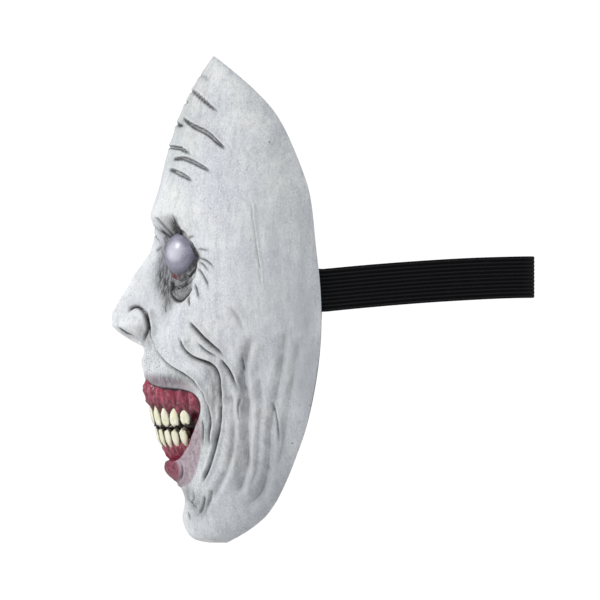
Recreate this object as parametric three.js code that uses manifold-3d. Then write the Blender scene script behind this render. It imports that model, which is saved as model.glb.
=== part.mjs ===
// Ghoul half-mask of cast latex on a ribbed elastic strap.
// Millimetres. +X is the wearer's left, the face looks along -Y, and +Z is up.
// The origin is midway between the two strap anchors, on the rim's rearmost line.
import * as THREE from 'three';
import { mergeVertices } from 'three/addons/utils/BufferGeometryUtils.js';
import Module from 'manifold-3d';

const wasm = await Module();
wasm.setup();

// ---------------------------------------------------------------- driving dimensions
const WALL = 2.5;                 // latex wall
const WELD = 0.02;                // corners of a cut piece that are closer than this become one
const GAP = 0.3;                  // gap between pieces that touch
const GRID = 34;                  // cells across and down the face
const SIDES = [['left', 1], ['right', -1]];

// The face from the top edge to the bottom edge, evenly spaced: its midline, its rim,
// its greatest half width, and how squarely each level turns from front to side.
const MID_Y = [
  -64, -75, -84, -90.5, -95.5, -99.5, -97, -94, -96, -103, -105.3, -101, -95, -89.5, -83, -76, -56,
];
const MID_Z = [
  141, 124, 105.5, 86.5, 66.5, 47, 27, 6.5, -13.5, -32.5, -52, -72, -91, -111, -130, -148, -151,
];
const RIM_Y = [-64, -27.5, -11, -3.2, 0.6, -3, -12, -30, -56];
const RIM_Z = [141, 106, 66.5, 27, -13, -52, -91, -130.5, -151];
const HALF_WIDTH = [91, 91, 93, 93, 93, 92.4, 87, 75, 64];
const SQUARENESS = [1, 1.07, 1.12, 1.25, 1.5, 1.9, 1.8, 1.4, 1];

// Raised and sunken forms on both sides of the face: place, radii, and push to the front.
const FORMS = [
  { x: 33, z: 20, rx: 17, rz: 14, push: -11 },     // eye socket
  { x: 30, z: 45, rx: 25, rz: 8, push: 5 },        // brow
  { x: 72, z: 50, rx: 15, rz: 25, push: -4 },      // temple
  { x: 58, z: -8, rx: 20, rz: 14, push: 5 },       // cheekbone
  { x: 44, z: -24, rx: 15, rz: 14, push: 7 },      // cheek, lifted by the grin
  { x: 33, z: -2, rx: 12, rz: 6, push: 3 },        // bag under the eye
  { x: 15, z: -20, rx: 6.5, rz: 8, push: 9 },      // wing of the nose
  { x: 42, z: -66, rx: 10, rz: 14, push: -6 },     // corner of the mouth
  { x: 8, z: -138, rx: 16, rz: 12, push: 4 },      // chin
];

// The nose, from its root to its base: level, and how far it stands out of the midline.
const NOSE_Z = [36, 23, 16, 9, 2, -5, -12.5, -16, -21, -24.5, -30, -33.5, -37];
const NOSE_OUT = [0, 6, 12, 18, 22, 26, 29, 28.5, 26.3, 21, 10.5, 2.4, 0];
const NOSE_ROOT_HALF_WIDTH = 6;
const NOSE_TIP_HALF_WIDTH = 12;
const NOSTRIL = { x: 7, y: -111, z: -30, radius: 1.75, length: 24, tilt: 0.25 };

const EYE = new THREE.Vector3(34, -77.2, 21.6);
const EYE_RADIUS = 15;
const EYE_DEPTH = 12.2;            // from the front of the eye to its flat back
const LID_RADIUS = EYE_RADIUS + GAP + 2.3;
const EYE_OPENING = { halfWidth: 15.4, halfHeight: 13.1, front: -120, back: -60 };
const SIGHT_SLIT = { inner: 18.2, outer: 21.7, halfAngle: 0.62, front: -110, back: -50 };

// Half of the mouth's outline from the middle of the upper lip to the middle of the lower.
const MOUTH = [
  [0, -52], [13, -54], [25, -58], [37, -61], [41, -68], [39.5, -79], [33, -91], [20, -99], [0, -102],
];
const MOUTH_CUT = { front: -130, back: -30 };
const LIP_RETURN = 2.2;            // wall that runs back from the lips to the gums
const ARCH = 0.0231;               // the dental arch falls back by ARCH * x * x
const ARCH_REACH = 46;             // half width of the gums before the mouth's outline trims them
const GUM_DEPTH = 6;
const UPPER_GUM = [[-48, -105.5], [-58, -105], [-64, -102.5], [-71, -99.8], [-80, -98]];
const LOWER_GUM = [[-80.6, -96], [-88, -94], [-95, -92.5], [-106, -91]];
const UPPER_TEETH = {
  name: 'upper', pitch: 8.3, width: 7.3, height: 14, depth: 5.6, y: -99.4, z: -73, tilt: 0.27,
};
const LOWER_TEETH = {
  name: 'lower', pitch: 6.9, width: 6, height: 11.6, depth: 5, y: -93.6, z: -88, tilt: 0.33,
};
const TEETH_PER_SIDE = 5;
const TOOTH_RISE = 0.5;            // each tooth sits this much higher than the one before it
const TOOTH_SHRINK = 0.045;        // and is shorter by this share

const STRAP_WIDTH = 25;
const STRAP_THICKNESS = 1.5;
const STRAP_END_SHARE = 0.2;       // share of the turn from rim to midline that the glued end covers
const STRAP_END_DOWN = -0.085;     // its height, as the face's own measure from -1 at the top to 1
const STRAP_RISE = 8.3;            // the loop climbs towards the back
const REAR_Y = 128;
const REAR_BEND = 16;              // radius of the loop's rear bend
const REAR_FLAT = 8;               // flat of the bend's middle
const ANCHOR = { x: 88.6, y: 0.7 };
const LEAVE_SHARE = 0.1;           // share of the side run over which it eases off the wall
const LEAVE_BOW = 3.2;             // how far it bows out there
const SIDE_END = 0.86;             // share of the side run that belongs to the strap's side pieces
const PIECE_BREAK = 0.0025;        // the same share left open between side and rear pieces
const PATCH = { height: 34, share: 0.27, thickness: 1 };

// ---------------------------------------------------------------- materials
const latex = new THREE.MeshStandardMaterial({ color: 0xc9ced1, roughness: 0.62, metalness: 0 });
const eyeGloss = new THREE.MeshStandardMaterial({ color: 0xc4c0d4, roughness: 0.15, metalness: 0 });
const gumFlesh = new THREE.MeshStandardMaterial({ color: 0x9a3048, roughness: 0.4, metalness: 0 });
const enamel = new THREE.MeshStandardMaterial({ color: 0xe6e1b8, roughness: 0.35, metalness: 0 });
const webbing = new THREE.MeshStandardMaterial({ color: 0x1b1b1f, roughness: 0.85, metalness: 0 });
const rawLatex = new THREE.MeshStandardMaterial({ color: 0xd8cba6, roughness: 0.7, metalness: 0 });

const mask = new THREE.Group();
mask.name = 'mask';

function addPiece(name, geometry, material) {
  const mesh = new THREE.Mesh(geometry, material);
  mesh.name = name;
  mask.add(mesh);
  return mesh;
}

// ---------------------------------------------------------------- solids and booleans
function solidOf(geometry, weld = 1e-3) {
  const bare = new THREE.BufferGeometry();
  bare.setAttribute('position', geometry.getAttribute('position').clone());
  bare.setIndex(geometry.getIndex());
  const merged = mergeVertices(bare, weld);
  return new wasm.Manifold(new wasm.Mesh({
    numProp: 3,
    vertProperties: new Float32Array(merged.getAttribute('position').array),
    triVerts: new Uint32Array(merged.getIndex().array),
  }));
}

function geometryOf(solid) {
  const mesh = solid.getMesh();
  const geometry = new THREE.BufferGeometry();
  const positions = new Float32Array(mesh.vertProperties);
  geometry.setAttribute('position', new THREE.BufferAttribute(positions, 3));
  geometry.setIndex(new THREE.BufferAttribute(new Uint32Array(mesh.triVerts), 1));
  geometry.computeVertexNormals();
  return geometry;
}

// The one real body of a cut solid: welds it until no sliver of a grazing cut is left.
function mainBody(solid) {
  let body = solid;
  let trianglesBefore = 0;
  while (body.numTri() !== trianglesBefore) {
    trianglesBefore = body.numTri();
    const bodies = solidOf(geometryOf(body), WELD).decompose();
    body = bodies.reduce((largest, other) => (other.volume() > largest.volume() ? other : largest));
  }
  return body;
}

// A closed skin between two grids of points of the same size. front[row][column] faces out.
function slabOf(front, back) {
  const rows = front.length;
  const columns = front[0].length;
  const points = [...front.flat(), ...back.flat()];
  const frontAt = (r, c) => r * columns + c;
  const backAt = (r, c) => rows * columns + frontAt(r, c);
  const faces = [];
  const quad = (a, b, c, d) => faces.push(a, b, c, a, c, d);
  for (let r = 0; r < rows - 1; r += 1) {
    for (let c = 0; c < columns - 1; c += 1) {
      quad(frontAt(r, c), frontAt(r + 1, c), frontAt(r + 1, c + 1), frontAt(r, c + 1));
      quad(backAt(r, c), backAt(r, c + 1), backAt(r + 1, c + 1), backAt(r + 1, c));
    }
  }
  for (let c = 0; c < columns - 1; c += 1) {
    quad(frontAt(0, c), frontAt(0, c + 1), backAt(0, c + 1), backAt(0, c));
    const last = rows - 1;
    quad(frontAt(last, c + 1), frontAt(last, c), backAt(last, c), backAt(last, c + 1));
  }
  for (let r = 0; r < rows - 1; r += 1) {
    quad(frontAt(r + 1, 0), frontAt(r, 0), backAt(r, 0), backAt(r + 1, 0));
    const last = columns - 1;
    quad(frontAt(r, last), frontAt(r + 1, last), backAt(r + 1, last), backAt(r, last));
  }
  if (signedVolume(points, faces) < 0) {
    faces.reverse();
  }
  const geometry = new THREE.BufferGeometry().setFromPoints(points);
  geometry.setIndex(faces);
  geometry.computeVertexNormals();
  return geometry;
}

function signedVolume(points, faces) {
  let volume = 0;
  const normal = new THREE.Vector3();
  for (let i = 0; i < faces.length; i += 3) {
    normal.crossVectors(points[faces[i + 1]], points[faces[i + 2]]);
    volume += points[faces[i]].dot(normal) / 6;
  }
  return volume;
}

// A prism along Y whose outline is given as [x, z] points.
function prism(outline, { front, back }) {
  const shape = new THREE.Shape(outline.map(([x, z]) => new THREE.Vector2(x, z)));
  const geometry = new THREE.ExtrudeGeometry(shape, { depth: back - front, bevelEnabled: false });
  return geometry.rotateX(Math.PI / 2).translate(0, back, 0);
}

// ---------------------------------------------------------------- the face surface
// A smooth value through evenly spaced ones, for t from -1 to 1.
function along(list, t) {
  const place = (t + 1) / 2 * (list.length - 1);
  const i = Math.min(Math.floor(place), list.length - 2);
  const f = place - i;
  const [a, b, c, d] = [-1, 0, 1, 2].map((k) => list[THREE.MathUtils.clamp(i + k, 0, list.length - 1)]);
  const slopeB = (c - a) / 2;
  const slopeC = (d - b) / 2;
  const curvature = 3 * (c - b) - 2 * slopeB - slopeC;
  const twist = 2 * (b - c) + slopeB + slopeC;
  return b + f * (slopeB + f * (curvature + f * twist));
}

// The value of a polyline at x; both lists run in falling order of x.
function lookUp(xs, values, x) {
  if (x >= xs[0]) {
    return values[0];
  }
  for (let i = 1; i < xs.length; i += 1) {
    if (x >= xs[i]) {
      return THREE.MathUtils.mapLinear(x, xs[i - 1], xs[i], values[i - 1], values[i]);
    }
  }
  return values[values.length - 1];
}

// The smooth bowl of the face. side runs from -1 at the right rim to 1 at the left rim.
function bowlPoint(side, down) {
  const reach = Math.sqrt(Math.max(0, 1 - down * down));
  const turn = side * Math.PI / 2;
  const c = Math.max(0, Math.cos(turn));
  const midY = along(MID_Y, down);
  const midZ = along(MID_Z, down);
  return new THREE.Vector3(
    along(HALF_WIDTH, down) * reach * Math.sin(turn),
    midY + (along(RIM_Y, down) - midY) * (1 - c ** along(SQUARENESS, down)),
    midZ + (along(RIM_Z, down) - midZ) * (1 - c),
  );
}

function nosePush(x, z) {
  const out = lookUp(NOSE_Z, NOSE_OUT, z);
  const lowered = THREE.MathUtils.clamp((30 - z) / 50, 0, 1);
  const halfWidth = THREE.MathUtils.lerp(NOSE_ROOT_HALF_WIDTH, NOSE_TIP_HALF_WIDTH, lowered);
  return out * Math.exp(-0.9 * (Math.abs(x) / halfWidth) ** 2.2);
}

function formPush(x, z) {
  let push = nosePush(x, z);
  for (const form of FORMS) {
    const dx = (Math.abs(x) - form.x) / form.rx;
    const dz = (z - form.z) / form.rz;
    push += form.push * Math.exp(-dx * dx - dz * dz);
  }
  return push;
}

// The front of the lid ball at (x, z), or far behind the face away from it.
function lidFront(x, z) {
  const offAxis = Math.hypot(Math.abs(x) - EYE.x, z - EYE.z);
  return offAxis < LID_RADIUS ? EYE.y - Math.sqrt(LID_RADIUS ** 2 - offAxis ** 2) : 0;
}

function sculpt(point) {
  point.y = Math.min(point.y - formPush(point.x, point.z), lidFront(point.x, point.z));
  return point;
}

// Square grid cell corners, closer together at the middle, spread over the oval face.
function gridToFace(u, v) {
  const warp = (value) => value * (0.62 + 0.38 * value * value);
  const across = warp(u) * Math.sqrt(1 - warp(v) ** 2 / 2);
  const down = warp(v) * Math.sqrt(1 - warp(u) ** 2 / 2);
  const reach = Math.sqrt(Math.max(0, 1 - down * down));
  return [reach > 1e-6 ? THREE.MathUtils.clamp(across / reach, -1, 1) : 0, down];
}

function bowlNormal(side, down) {
  const step = 0.004;
  const s = THREE.MathUtils.clamp(side, -1 + step, 1 - step);
  const d = THREE.MathUtils.clamp(down, -1 + 4 * step, 1 - 4 * step);
  const alongSide = bowlPoint(s + step, d).sub(bowlPoint(s - step, d));
  const alongDown = bowlPoint(s, d + step).sub(bowlPoint(s, d - step));
  return alongDown.cross(alongSide).normalize();
}

function faceGrid(inward) {
  const rows = [];
  for (let j = 0; j <= GRID; j += 1) {
    const row = [];
    for (let i = 0; i <= GRID; i += 1) {
      const [side, down] = gridToFace(2 * i / GRID - 1, 2 * j / GRID - 1);
      const point = sculpt(bowlPoint(side, down));
      row.push(point.addScaledVector(bowlNormal(side, down), -inward));
    }
    rows.push(row);
  }
  return rows;
}

// ---------------------------------------------------------------- mouth and gums
// The mouth's closed outline, grown by an offset.
function mouthOutline(offset) {
  const rightHalf = MOUTH.slice(1, -1).reverse().map(([x, z]) => [-x, z]);
  const corners = [...MOUTH, ...rightHalf].map(([x, z]) => new THREE.Vector3(x, z, 0));
  const curve = new THREE.CatmullRomCurve3(corners, true, 'centripetal');
  const steps = 40;
  return Array.from({ length: steps }, (_, k) => {
    const point = curve.getPoint(k / steps);
    const tangent = curve.getTangent(k / steps);
    return [point.x - tangent.y * offset, point.y + tangent.x * offset];
  });
}

// A band that follows the dental arch, from a list of [z, y] down its front.
function archBand(profile, depth) {
  const columns = 19;
  const grid = (setBack) => profile.map(([z, y]) => Array.from({ length: columns }, (_, k) => {
    const x = THREE.MathUtils.lerp(-ARCH_REACH, ARCH_REACH, k / (columns - 1));
    return new THREE.Vector3(x, y + ARCH * x * x + setBack, z);
  }));
  return slabOf(grid(0), grid(depth));
}

// ---------------------------------------------------------------- teeth
// Where the arch has run a given length from its middle.
function archX(length) {
  let x = 0;
  const step = 0.05;
  for (let run = 0; run < length; run += step * Math.hypot(1, 2 * ARCH * x)) {
    x += step;
  }
  return x;
}

function toothPlace(row, index, sign) {
  const x = sign * archX(row.pitch * (index + 0.5));
  const turn = Math.atan(2 * ARCH * x);
  const shrink = 1 - TOOTH_SHRINK * index;
  const position = new THREE.Vector3(x, row.y + ARCH * x * x, row.z + TOOTH_RISE * index);
  const rotation = new THREE.Quaternion().setFromEuler(new THREE.Euler(row.tilt, 0, turn, 'ZXY'));
  return new THREE.Matrix4().compose(position, rotation, new THREE.Vector3(1, 1, shrink));
}

// An egg-shaped tooth, narrower where it enters the gum.
function toothGeometry(row, grow) {
  const geometry = new THREE.SphereGeometry(1, 10, 8).rotateX(Math.PI / 2);
  geometry.scale(row.width / 2 + grow, row.depth / 2 + grow, row.height / 2 + grow);
  return geometry;
}

function gumSolid(row, profile) {
  const opening = solidOf(prism(mouthOutline(-GAP - 0.2), MOUTH_CUT));
  let gum = solidOf(archBand(profile, GUM_DEPTH)).intersect(opening);
  for (const [, sign] of SIDES) {
    for (let index = 0; index < TEETH_PER_SIDE; index += 1) {
      const socket = toothGeometry(row, GAP).applyMatrix4(toothPlace(row, index, sign));
      gum = gum.subtract(solidOf(socket));
    }
  }
  return gum;
}

function addTeeth(row) {
  for (const [side, sign] of SIDES) {
    for (let index = 0; index < TEETH_PER_SIDE; index += 1) {
      const tooth = addPiece(`${row.name}_tooth_${side}_${index + 1}`, toothGeometry(row, 0), enamel);
      tooth.applyMatrix4(toothPlace(row, index, sign));
    }
  }
}

// ---------------------------------------------------------------- the shell
function sightSlit(sign) {
  const arc = (radius, from, to) => Array.from({ length: 9 }, (_, k) => {
    const angle = -Math.PI / 2 + THREE.MathUtils.lerp(from, to, k / 8);
    return [sign * EYE.x + radius * Math.cos(angle), EYE.z + radius * Math.sin(angle)];
  });
  const { inner, outer, halfAngle } = SIGHT_SLIT;
  return prism([...arc(outer, -halfAngle, halfAngle), ...arc(inner, halfAngle, -halfAngle)], SIGHT_SLIT);
}

function eyeOpening(sign) {
  const outline = new THREE.EllipseCurve(
    sign * EYE.x, EYE.z, EYE_OPENING.halfWidth, EYE_OPENING.halfHeight,
  ).getPoints(32).slice(0, -1);
  return prism(outline.map(({ x, y }) => [x, y]), EYE_OPENING);
}

function nostril(sign) {
  const { x, y, z, radius, length, tilt } = NOSTRIL;
  const hole = new THREE.CylinderGeometry(radius, radius, length, 12);
  return hole.rotateX(Math.PI / 2 + tilt).translate(sign * x, y, z);
}

// The face's wall, with a lip that runs back round the mouth as far as the gums' rear face.
function shellSolid() {
  let shell = solidOf(slabOf(faceGrid(0), faceGrid(WALL)));
  const behindRim = 20;
  const aheadOfGums = 40;
  const flatBack = faceGrid(0).map((row) => row.map(({ x, z }) => new THREE.Vector3(x, behindRim, z)));
  const behindFace = solidOf(slabOf(faceGrid(WALL / 4), flatBack));
  const gumFront = [...UPPER_GUM.slice(0, -1), ...LOWER_GUM];
  const ahead = gumFront.map(([z, y]) => [z, y - aheadOfGums]);
  const toGumBack = solidOf(archBand(ahead, aheadOfGums + GUM_DEPTH));
  const lipTube = solidOf(prism(mouthOutline(LIP_RETURN), MOUTH_CUT));
  shell = shell.add(lipTube.intersect(behindFace).intersect(toGumBack));
  shell = shell.subtract(solidOf(prism(mouthOutline(0), MOUTH_CUT)));
  for (const [, sign] of SIDES) {
    const eyeRoom = new THREE.SphereGeometry(EYE_RADIUS + GAP, 28, 18);
    shell = shell.subtract(solidOf(eyeRoom.translate(sign * EYE.x, EYE.y, EYE.z)));
    shell = shell.subtract(solidOf(eyeOpening(sign)));
    shell = shell.subtract(solidOf(sightSlit(sign)));
    shell = shell.subtract(solidOf(nostril(sign)));
  }
  return shell;
}

// A glossy dome with a flat back, turned about the line of sight.
function eyeGeometry() {
  const backEdge = Math.acos((EYE_RADIUS - EYE_DEPTH) / EYE_RADIUS);
  const steps = 7;
  const profile = Array.from({ length: steps + 1 }, (_, k) => {
    const angle = backEdge * k / steps;
    return new THREE.Vector2(EYE_RADIUS * Math.sin(angle), -EYE_RADIUS * Math.cos(angle));
  });
  profile[0].x = 0;
  profile.push(new THREE.Vector2(0, EYE_DEPTH - EYE_RADIUS));
  return new THREE.LatheGeometry(profile, 24);
}

// ---------------------------------------------------------------- strap and patches
// A plate that lies along the inside of the wall from the rim forward, between two depths.
function wallPlate(sign, height, share, depthFrom, depthTo) {
  const rows = 5;
  const columns = 6;
  const downPerMm = 0.00625;
  const grid = (depth) => Array.from({ length: rows }, (_, r) => Array.from({ length: columns }, (_, c) => {
    const down = STRAP_END_DOWN + downPerMm * height * (r / (rows - 1) - 0.5);
    const side = sign * (1 - share * c / (columns - 1));
    return bowlPoint(side, down).addScaledVector(bowlNormal(side, down), -depth);
  }));
  return slabOf(grid(depthFrom), grid(depthTo));
}

// A flat ribbon on edge along a route.
function ribbon(route) {
  const up = new THREE.Vector3(0, 0, 1);
  const corners = route.map((point, k) => {
    const before = route[Math.max(0, k - 1)];
    const after = route[Math.min(route.length - 1, k + 1)];
    const tangent = after.clone().sub(before).normalize();
    const across = up.clone().addScaledVector(tangent, -up.dot(tangent)).normalize();
    const outward = tangent.clone().cross(across);
    return [[0.5, 0.5], [0.5, -0.5], [-0.5, -0.5], [-0.5, 0.5]].map(([w, t]) => point.clone()
      .addScaledVector(across, w * STRAP_WIDTH).addScaledVector(outward, t * STRAP_THICKNESS));
  });
  const front = corners.map((c) => [c[0], c[1]]);
  const back = corners.map((c) => [c[3], c[2]]);
  return slabOf(front, back);
}

function strapHeight(y) {
  return STRAP_RISE * (1 - (1 - y / REAR_Y) ** 1.6);
}

// The left half of the loop in plan: off the wall, straight to the rear, round the bend.
const BEND_CENTRE_Y = REAR_Y - REAR_BEND;
const BEND_TURN = Math.atan2(ANCHOR.x, BEND_CENTRE_Y - ANCHOR.y)
  - Math.asin(REAR_BEND / Math.hypot(ANCHOR.x, BEND_CENTRE_Y - ANCHOR.y));
const TANGENT_POINT = {
  x: REAR_BEND * Math.cos(BEND_TURN),
  y: BEND_CENTRE_Y + REAR_BEND * Math.sin(BEND_TURN),
};

function onLoop(x, y) {
  return new THREE.Vector3(x, y, strapHeight(y));
}

// Points from the anchor to a fraction of the straight run. The strap leaves along the wall
// and eases inwards from there.
function sideRoute(sign, reach) {
  const steps = 14;
  return Array.from({ length: steps + 1 }, (_, k) => {
    const f = reach * (k / steps) ** 1.5;
    const bow = LEAVE_BOW * (f / LEAVE_SHARE) * Math.exp(1 - f / LEAVE_SHARE);
    const x = THREE.MathUtils.lerp(ANCHOR.x, TANGENT_POINT.x, f) + bow;
    return onLoop(sign * x, THREE.MathUtils.lerp(ANCHOR.y, TANGENT_POINT.y, f));
  });
}

function rearRoute(sideEnd) {
  const half = [];
  for (const f of [sideEnd, (1 + sideEnd) / 2]) {
    half.push(onLoop(
      THREE.MathUtils.lerp(ANCHOR.x, TANGENT_POINT.x, f),
      THREE.MathUtils.lerp(ANCHOR.y, TANGENT_POINT.y, f),
    ));
  }
  const flatTurn = Math.acos(REAR_FLAT / 2 / REAR_BEND);
  for (let k = 0; k <= 3; k += 1) {
    const turn = THREE.MathUtils.lerp(BEND_TURN, flatTurn, k / 3);
    half.push(onLoop(REAR_BEND * Math.cos(turn), BEND_CENTRE_Y + REAR_BEND * Math.sin(turn)));
  }
  const otherHalf = half.map(({ x, y, z }) => new THREE.Vector3(-x, y, z)).reverse();
  return [...half, ...otherHalf];
}

// ---------------------------------------------------------------- assembly
addPiece('face_shell', geometryOf(mainBody(shellSolid())), latex);
addPiece('upper_gum', geometryOf(mainBody(gumSolid(UPPER_TEETH, UPPER_GUM))), gumFlesh);
addPiece('lower_gum', geometryOf(mainBody(gumSolid(LOWER_TEETH, LOWER_GUM))), gumFlesh);
addTeeth(UPPER_TEETH);
addTeeth(LOWER_TEETH);

for (const [side, sign] of SIDES) {
  const eye = addPiece(`eye_dome_${side}`, eyeGeometry(), eyeGloss);
  eye.position.set(sign * EYE.x, EYE.y, EYE.z);
  const strapDepth = WALL + 0.1 + GAP;
  const patchDepth = strapDepth + STRAP_THICKNESS + GAP;
  const glued = wallPlate(sign, STRAP_WIDTH, STRAP_END_SHARE, strapDepth, strapDepth + STRAP_THICKNESS);
  addPiece(`strap_end_${side}`, glued, webbing);
  addPiece(`strap_side_${side}`, ribbon(sideRoute(sign, SIDE_END - PIECE_BREAK)), webbing);
  const patch = wallPlate(sign, PATCH.height, PATCH.share, patchDepth, patchDepth + PATCH.thickness);
  addPiece(`strap_patch_${side}`, patch, rawLatex);
}
addPiece('strap_back', ribbon(rearRoute(SIDE_END)), webbing);

export default mask;
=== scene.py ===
"""Ghoul half-mask of cast latex on a ribbed elastic strap: its fine surface and its looks.

Shapes are worked out in millimetres and scaled to metres as each mesh is made.
+X is the wearer's left, the face looks along -Y, and +Z is up.
"""
import math

import bpy
import numpy as np
from mathutils import Euler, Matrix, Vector, noise


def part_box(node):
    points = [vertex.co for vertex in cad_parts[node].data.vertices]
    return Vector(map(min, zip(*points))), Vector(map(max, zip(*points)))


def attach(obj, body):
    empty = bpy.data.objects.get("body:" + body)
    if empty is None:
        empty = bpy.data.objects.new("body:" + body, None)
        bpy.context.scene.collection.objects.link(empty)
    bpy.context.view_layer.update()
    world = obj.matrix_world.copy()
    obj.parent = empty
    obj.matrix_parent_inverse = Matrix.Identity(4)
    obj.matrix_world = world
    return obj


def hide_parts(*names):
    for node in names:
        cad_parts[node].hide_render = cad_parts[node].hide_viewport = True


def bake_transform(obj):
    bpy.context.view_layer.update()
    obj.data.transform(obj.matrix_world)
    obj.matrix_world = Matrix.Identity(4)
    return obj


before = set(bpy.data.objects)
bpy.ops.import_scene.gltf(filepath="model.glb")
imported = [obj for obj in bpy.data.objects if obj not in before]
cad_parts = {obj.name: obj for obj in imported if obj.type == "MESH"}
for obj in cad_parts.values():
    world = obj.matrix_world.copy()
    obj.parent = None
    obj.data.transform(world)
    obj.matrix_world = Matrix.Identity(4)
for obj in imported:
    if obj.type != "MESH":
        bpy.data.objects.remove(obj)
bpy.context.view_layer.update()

# ------------------------------------------------------------------ driving dimensions
MM = 0.001
FAR = 99.0                      # stands for no opening near, in millimetres
WALL = 2.5
CELLS_ACROSS = 460
CELLS_DOWN = 420
SIDES = (("left", 1), ("right", -1))

# The face from its top edge to its bottom edge, evenly spaced.
MID_Y = [-64, -75, -84, -90.5, -95.5, -99.5, -97, -94, -96, -103, -105.3, -101, -95, -89.5, -83, -76, -56]
MID_Z = [141, 124, 105.5, 86.5, 66.5, 47, 27, 6.5, -13.5, -32.5, -52, -72, -91, -111, -130, -148, -151]
RIM_Y = [-64, -27.5, -11, -3.2, 0.6, -3, -12, -30, -56]
RIM_Z = [141, 106, 66.5, 27, -13, -52, -91, -130.5, -151]
HALF_WIDTH = [91, 91, 93, 93, 93, 92.4, 87, 75, 64]
SQUARENESS = [1, 1.07, 1.12, 1.25, 1.5, 1.9, 1.8, 1.4, 1]

# Raised and sunken forms on both sides: x, z, radius across, radius up, push to the front.
FORMS = (
    (33, 20, 17, 14, -11),      # eye socket
    (30, 45, 25, 8, 5),         # brow
    (72, 50, 15, 25, -4),       # temple
    (58, -8, 20, 14, 5),        # cheekbone
    (44, -24, 15, 14, 7),       # cheek, lifted by the grin
    (33, -2, 12, 6, 3),         # bag under the eye
    (15, -20, 6.5, 8, 9),       # wing of the nose
    (42, -66, 10, 14, -7),      # corner of the mouth
    (7, -139, 15, 9, 1.4),      # chin
    (0, -41, 16, 7, 2.4),       # upper lip
    (0, -107.5, 11, 4.6, 2.6),  # lower lip
    (0, -116, 12, 3.4, -1.4),   # under the lower lip
    (0, -122.5, 19, 8, -4.4),   # hollow between lip and chin
)
NOSE_Z = [36, 23, 16, 9, 2, -5, -12.5, -16, -21, -24.5, -30, -33.5, -37]
NOSE_OUT = [0, 6, 12, 18, 22, 26, 29, 28.5, 26.3, 21, 10.5, 2.4, 0]
NOSE_ROOT_HALF_WIDTH = 6
NOSE_TIP_HALF_WIDTH = 12

EYE = np.array([34, -77.2, 21.6])
EYE_RADIUS = 15
LID_RADIUS = 16.1
LID_SIDE = 0.355                      # share of the half width at the eye's outer corner
# The opening between the lids, in degrees round the ball: outwards from straight ahead, and up.
EYE_OPENING = ((106, -6), (96, 14), (79, 36), (48, 56), (14, 58), (-20, 48), (-42, 22), (-50, 0),
               (-40, -22), (-20, -40), (6, -54), (40, -59), (72, -44), (93, -26))
SLIT = {"radius": 20, "half_width": 1.5, "half_angle": 0.62}
NOSTRIL = {"x": 7.4, "z": -28.6, "rx": 3.2, "rz": 2.6}

MOUTH = ((0, -52), (13, -54), (25, -57.4), (38, -59), (43.4, -63.4), (42, -75), (38.8, -84), (34, -92),
         (24, -99.5), (10, -102), (0, -102))
ARCH = 0.0231
# The gums, by height: how far out they stand of the arch that the middles of the teeth follow.
UPPER_GUM = {"z": [-44, -52, -58, -64, -71, -80.6], "out": [1.6, 3.4, 5.0, 4.4, 3.0, 0.0]}
LOWER_GUM = {"z": [-80.8, -88, -94, -98.5, -102, -108], "out": [1.4, 0.4, -1.6, -4.8, -7.7, -10.9]}
# Each row of teeth: where its arch crosses the middle, the run from tooth to tooth, a front tooth's
# size, how far each biting edge is from the middle of its tooth's room, how much shorter each tooth
# back is, where a crown is widest, how round its edge is, its tilt, and the gum's margin over it.
UPPER_TEETH = {"name": "upper", "y": -100.0, "pitch": 8.3, "width": 8.0, "height": 18.0, "depth": 5.6,
               "bites": (6.8, 8.2, 8.6, 8.9, 8.2), "shorter": 1.1, "widest": 0.7, "round": 0.5,
               "tilt": 0.14, "margin": -66.8, "margin_slope": 0.18}
LOWER_TEETH = {"name": "lower", "y": -95.7, "pitch": 6.9, "width": 6.6, "height": 14.6, "depth": 5.0,
               "bites": (7.0, 5.8, 4.8, 4.3, 4.4), "shorter": 0.2, "widest": 0.62, "round": 0.8,
               "tilt": 0.34, "margin": -91.9, "margin_slope": 0.09}
TEETH_PER_SIDE = sum(name.startswith("upper_tooth_left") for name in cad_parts)
GUM_REACH = 43                  # half the gums' width
GUM_THICKNESS = 5.2
GUM_SCALLOP = 1.8
GUM_OVERLAP = 0.6               # how far each gum runs past the other, behind the teeth

STRAP_WIDTH = 25
STRAP_THICKNESS = 1.5
STRAP_RISE = 8.3
STRAP_RIBS = 11
REAR_Y = 128
REAR_BEND = 16                  # the radius of the strap's bend at the rear
ANCHOR = (88.6, 0.7)            # x and y of the place where the strap leaves the face
STRAP_END_SIDE = 0.8            # how far round the bowl the glued ends reach, as its side
STRAP_END_DOWN = -0.085         # the height of the glued ends, as the bowl's down
DOWN_PER_MM = 0.00625
SEAM_Y = 34                     # the near and far strap pieces meet here
PATCH_HEIGHT = 34
PATCH_SHARE = 0.27              # the patch's inner edge, as a share of the half width


# ------------------------------------------------------------------ small mathematics
def smoothstep(low, high, value):
    t = np.clip((value - low) / (high - low), 0, 1)
    return t * t * (3 - 2 * t)


def along(values, t):
    """A smooth value through evenly spaced ones, for t from -1 to 1."""
    values = np.asarray(values, float)
    last = len(values) - 1
    place = (t + 1) / 2 * last
    i = np.clip(np.floor(place).astype(int), 0, last - 1)
    f = place - i
    a, b, c, d = (values[np.clip(i + k, 0, last)] for k in (-1, 0, 1, 2))
    slope_b = (c - a) / 2
    slope_c = (d - b) / 2
    curvature = 3 * (c - b) - 2 * slope_b - slope_c
    twist = 2 * (b - c) + slope_b + slope_c
    return b + f * (slope_b + f * (curvature + f * twist))


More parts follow.
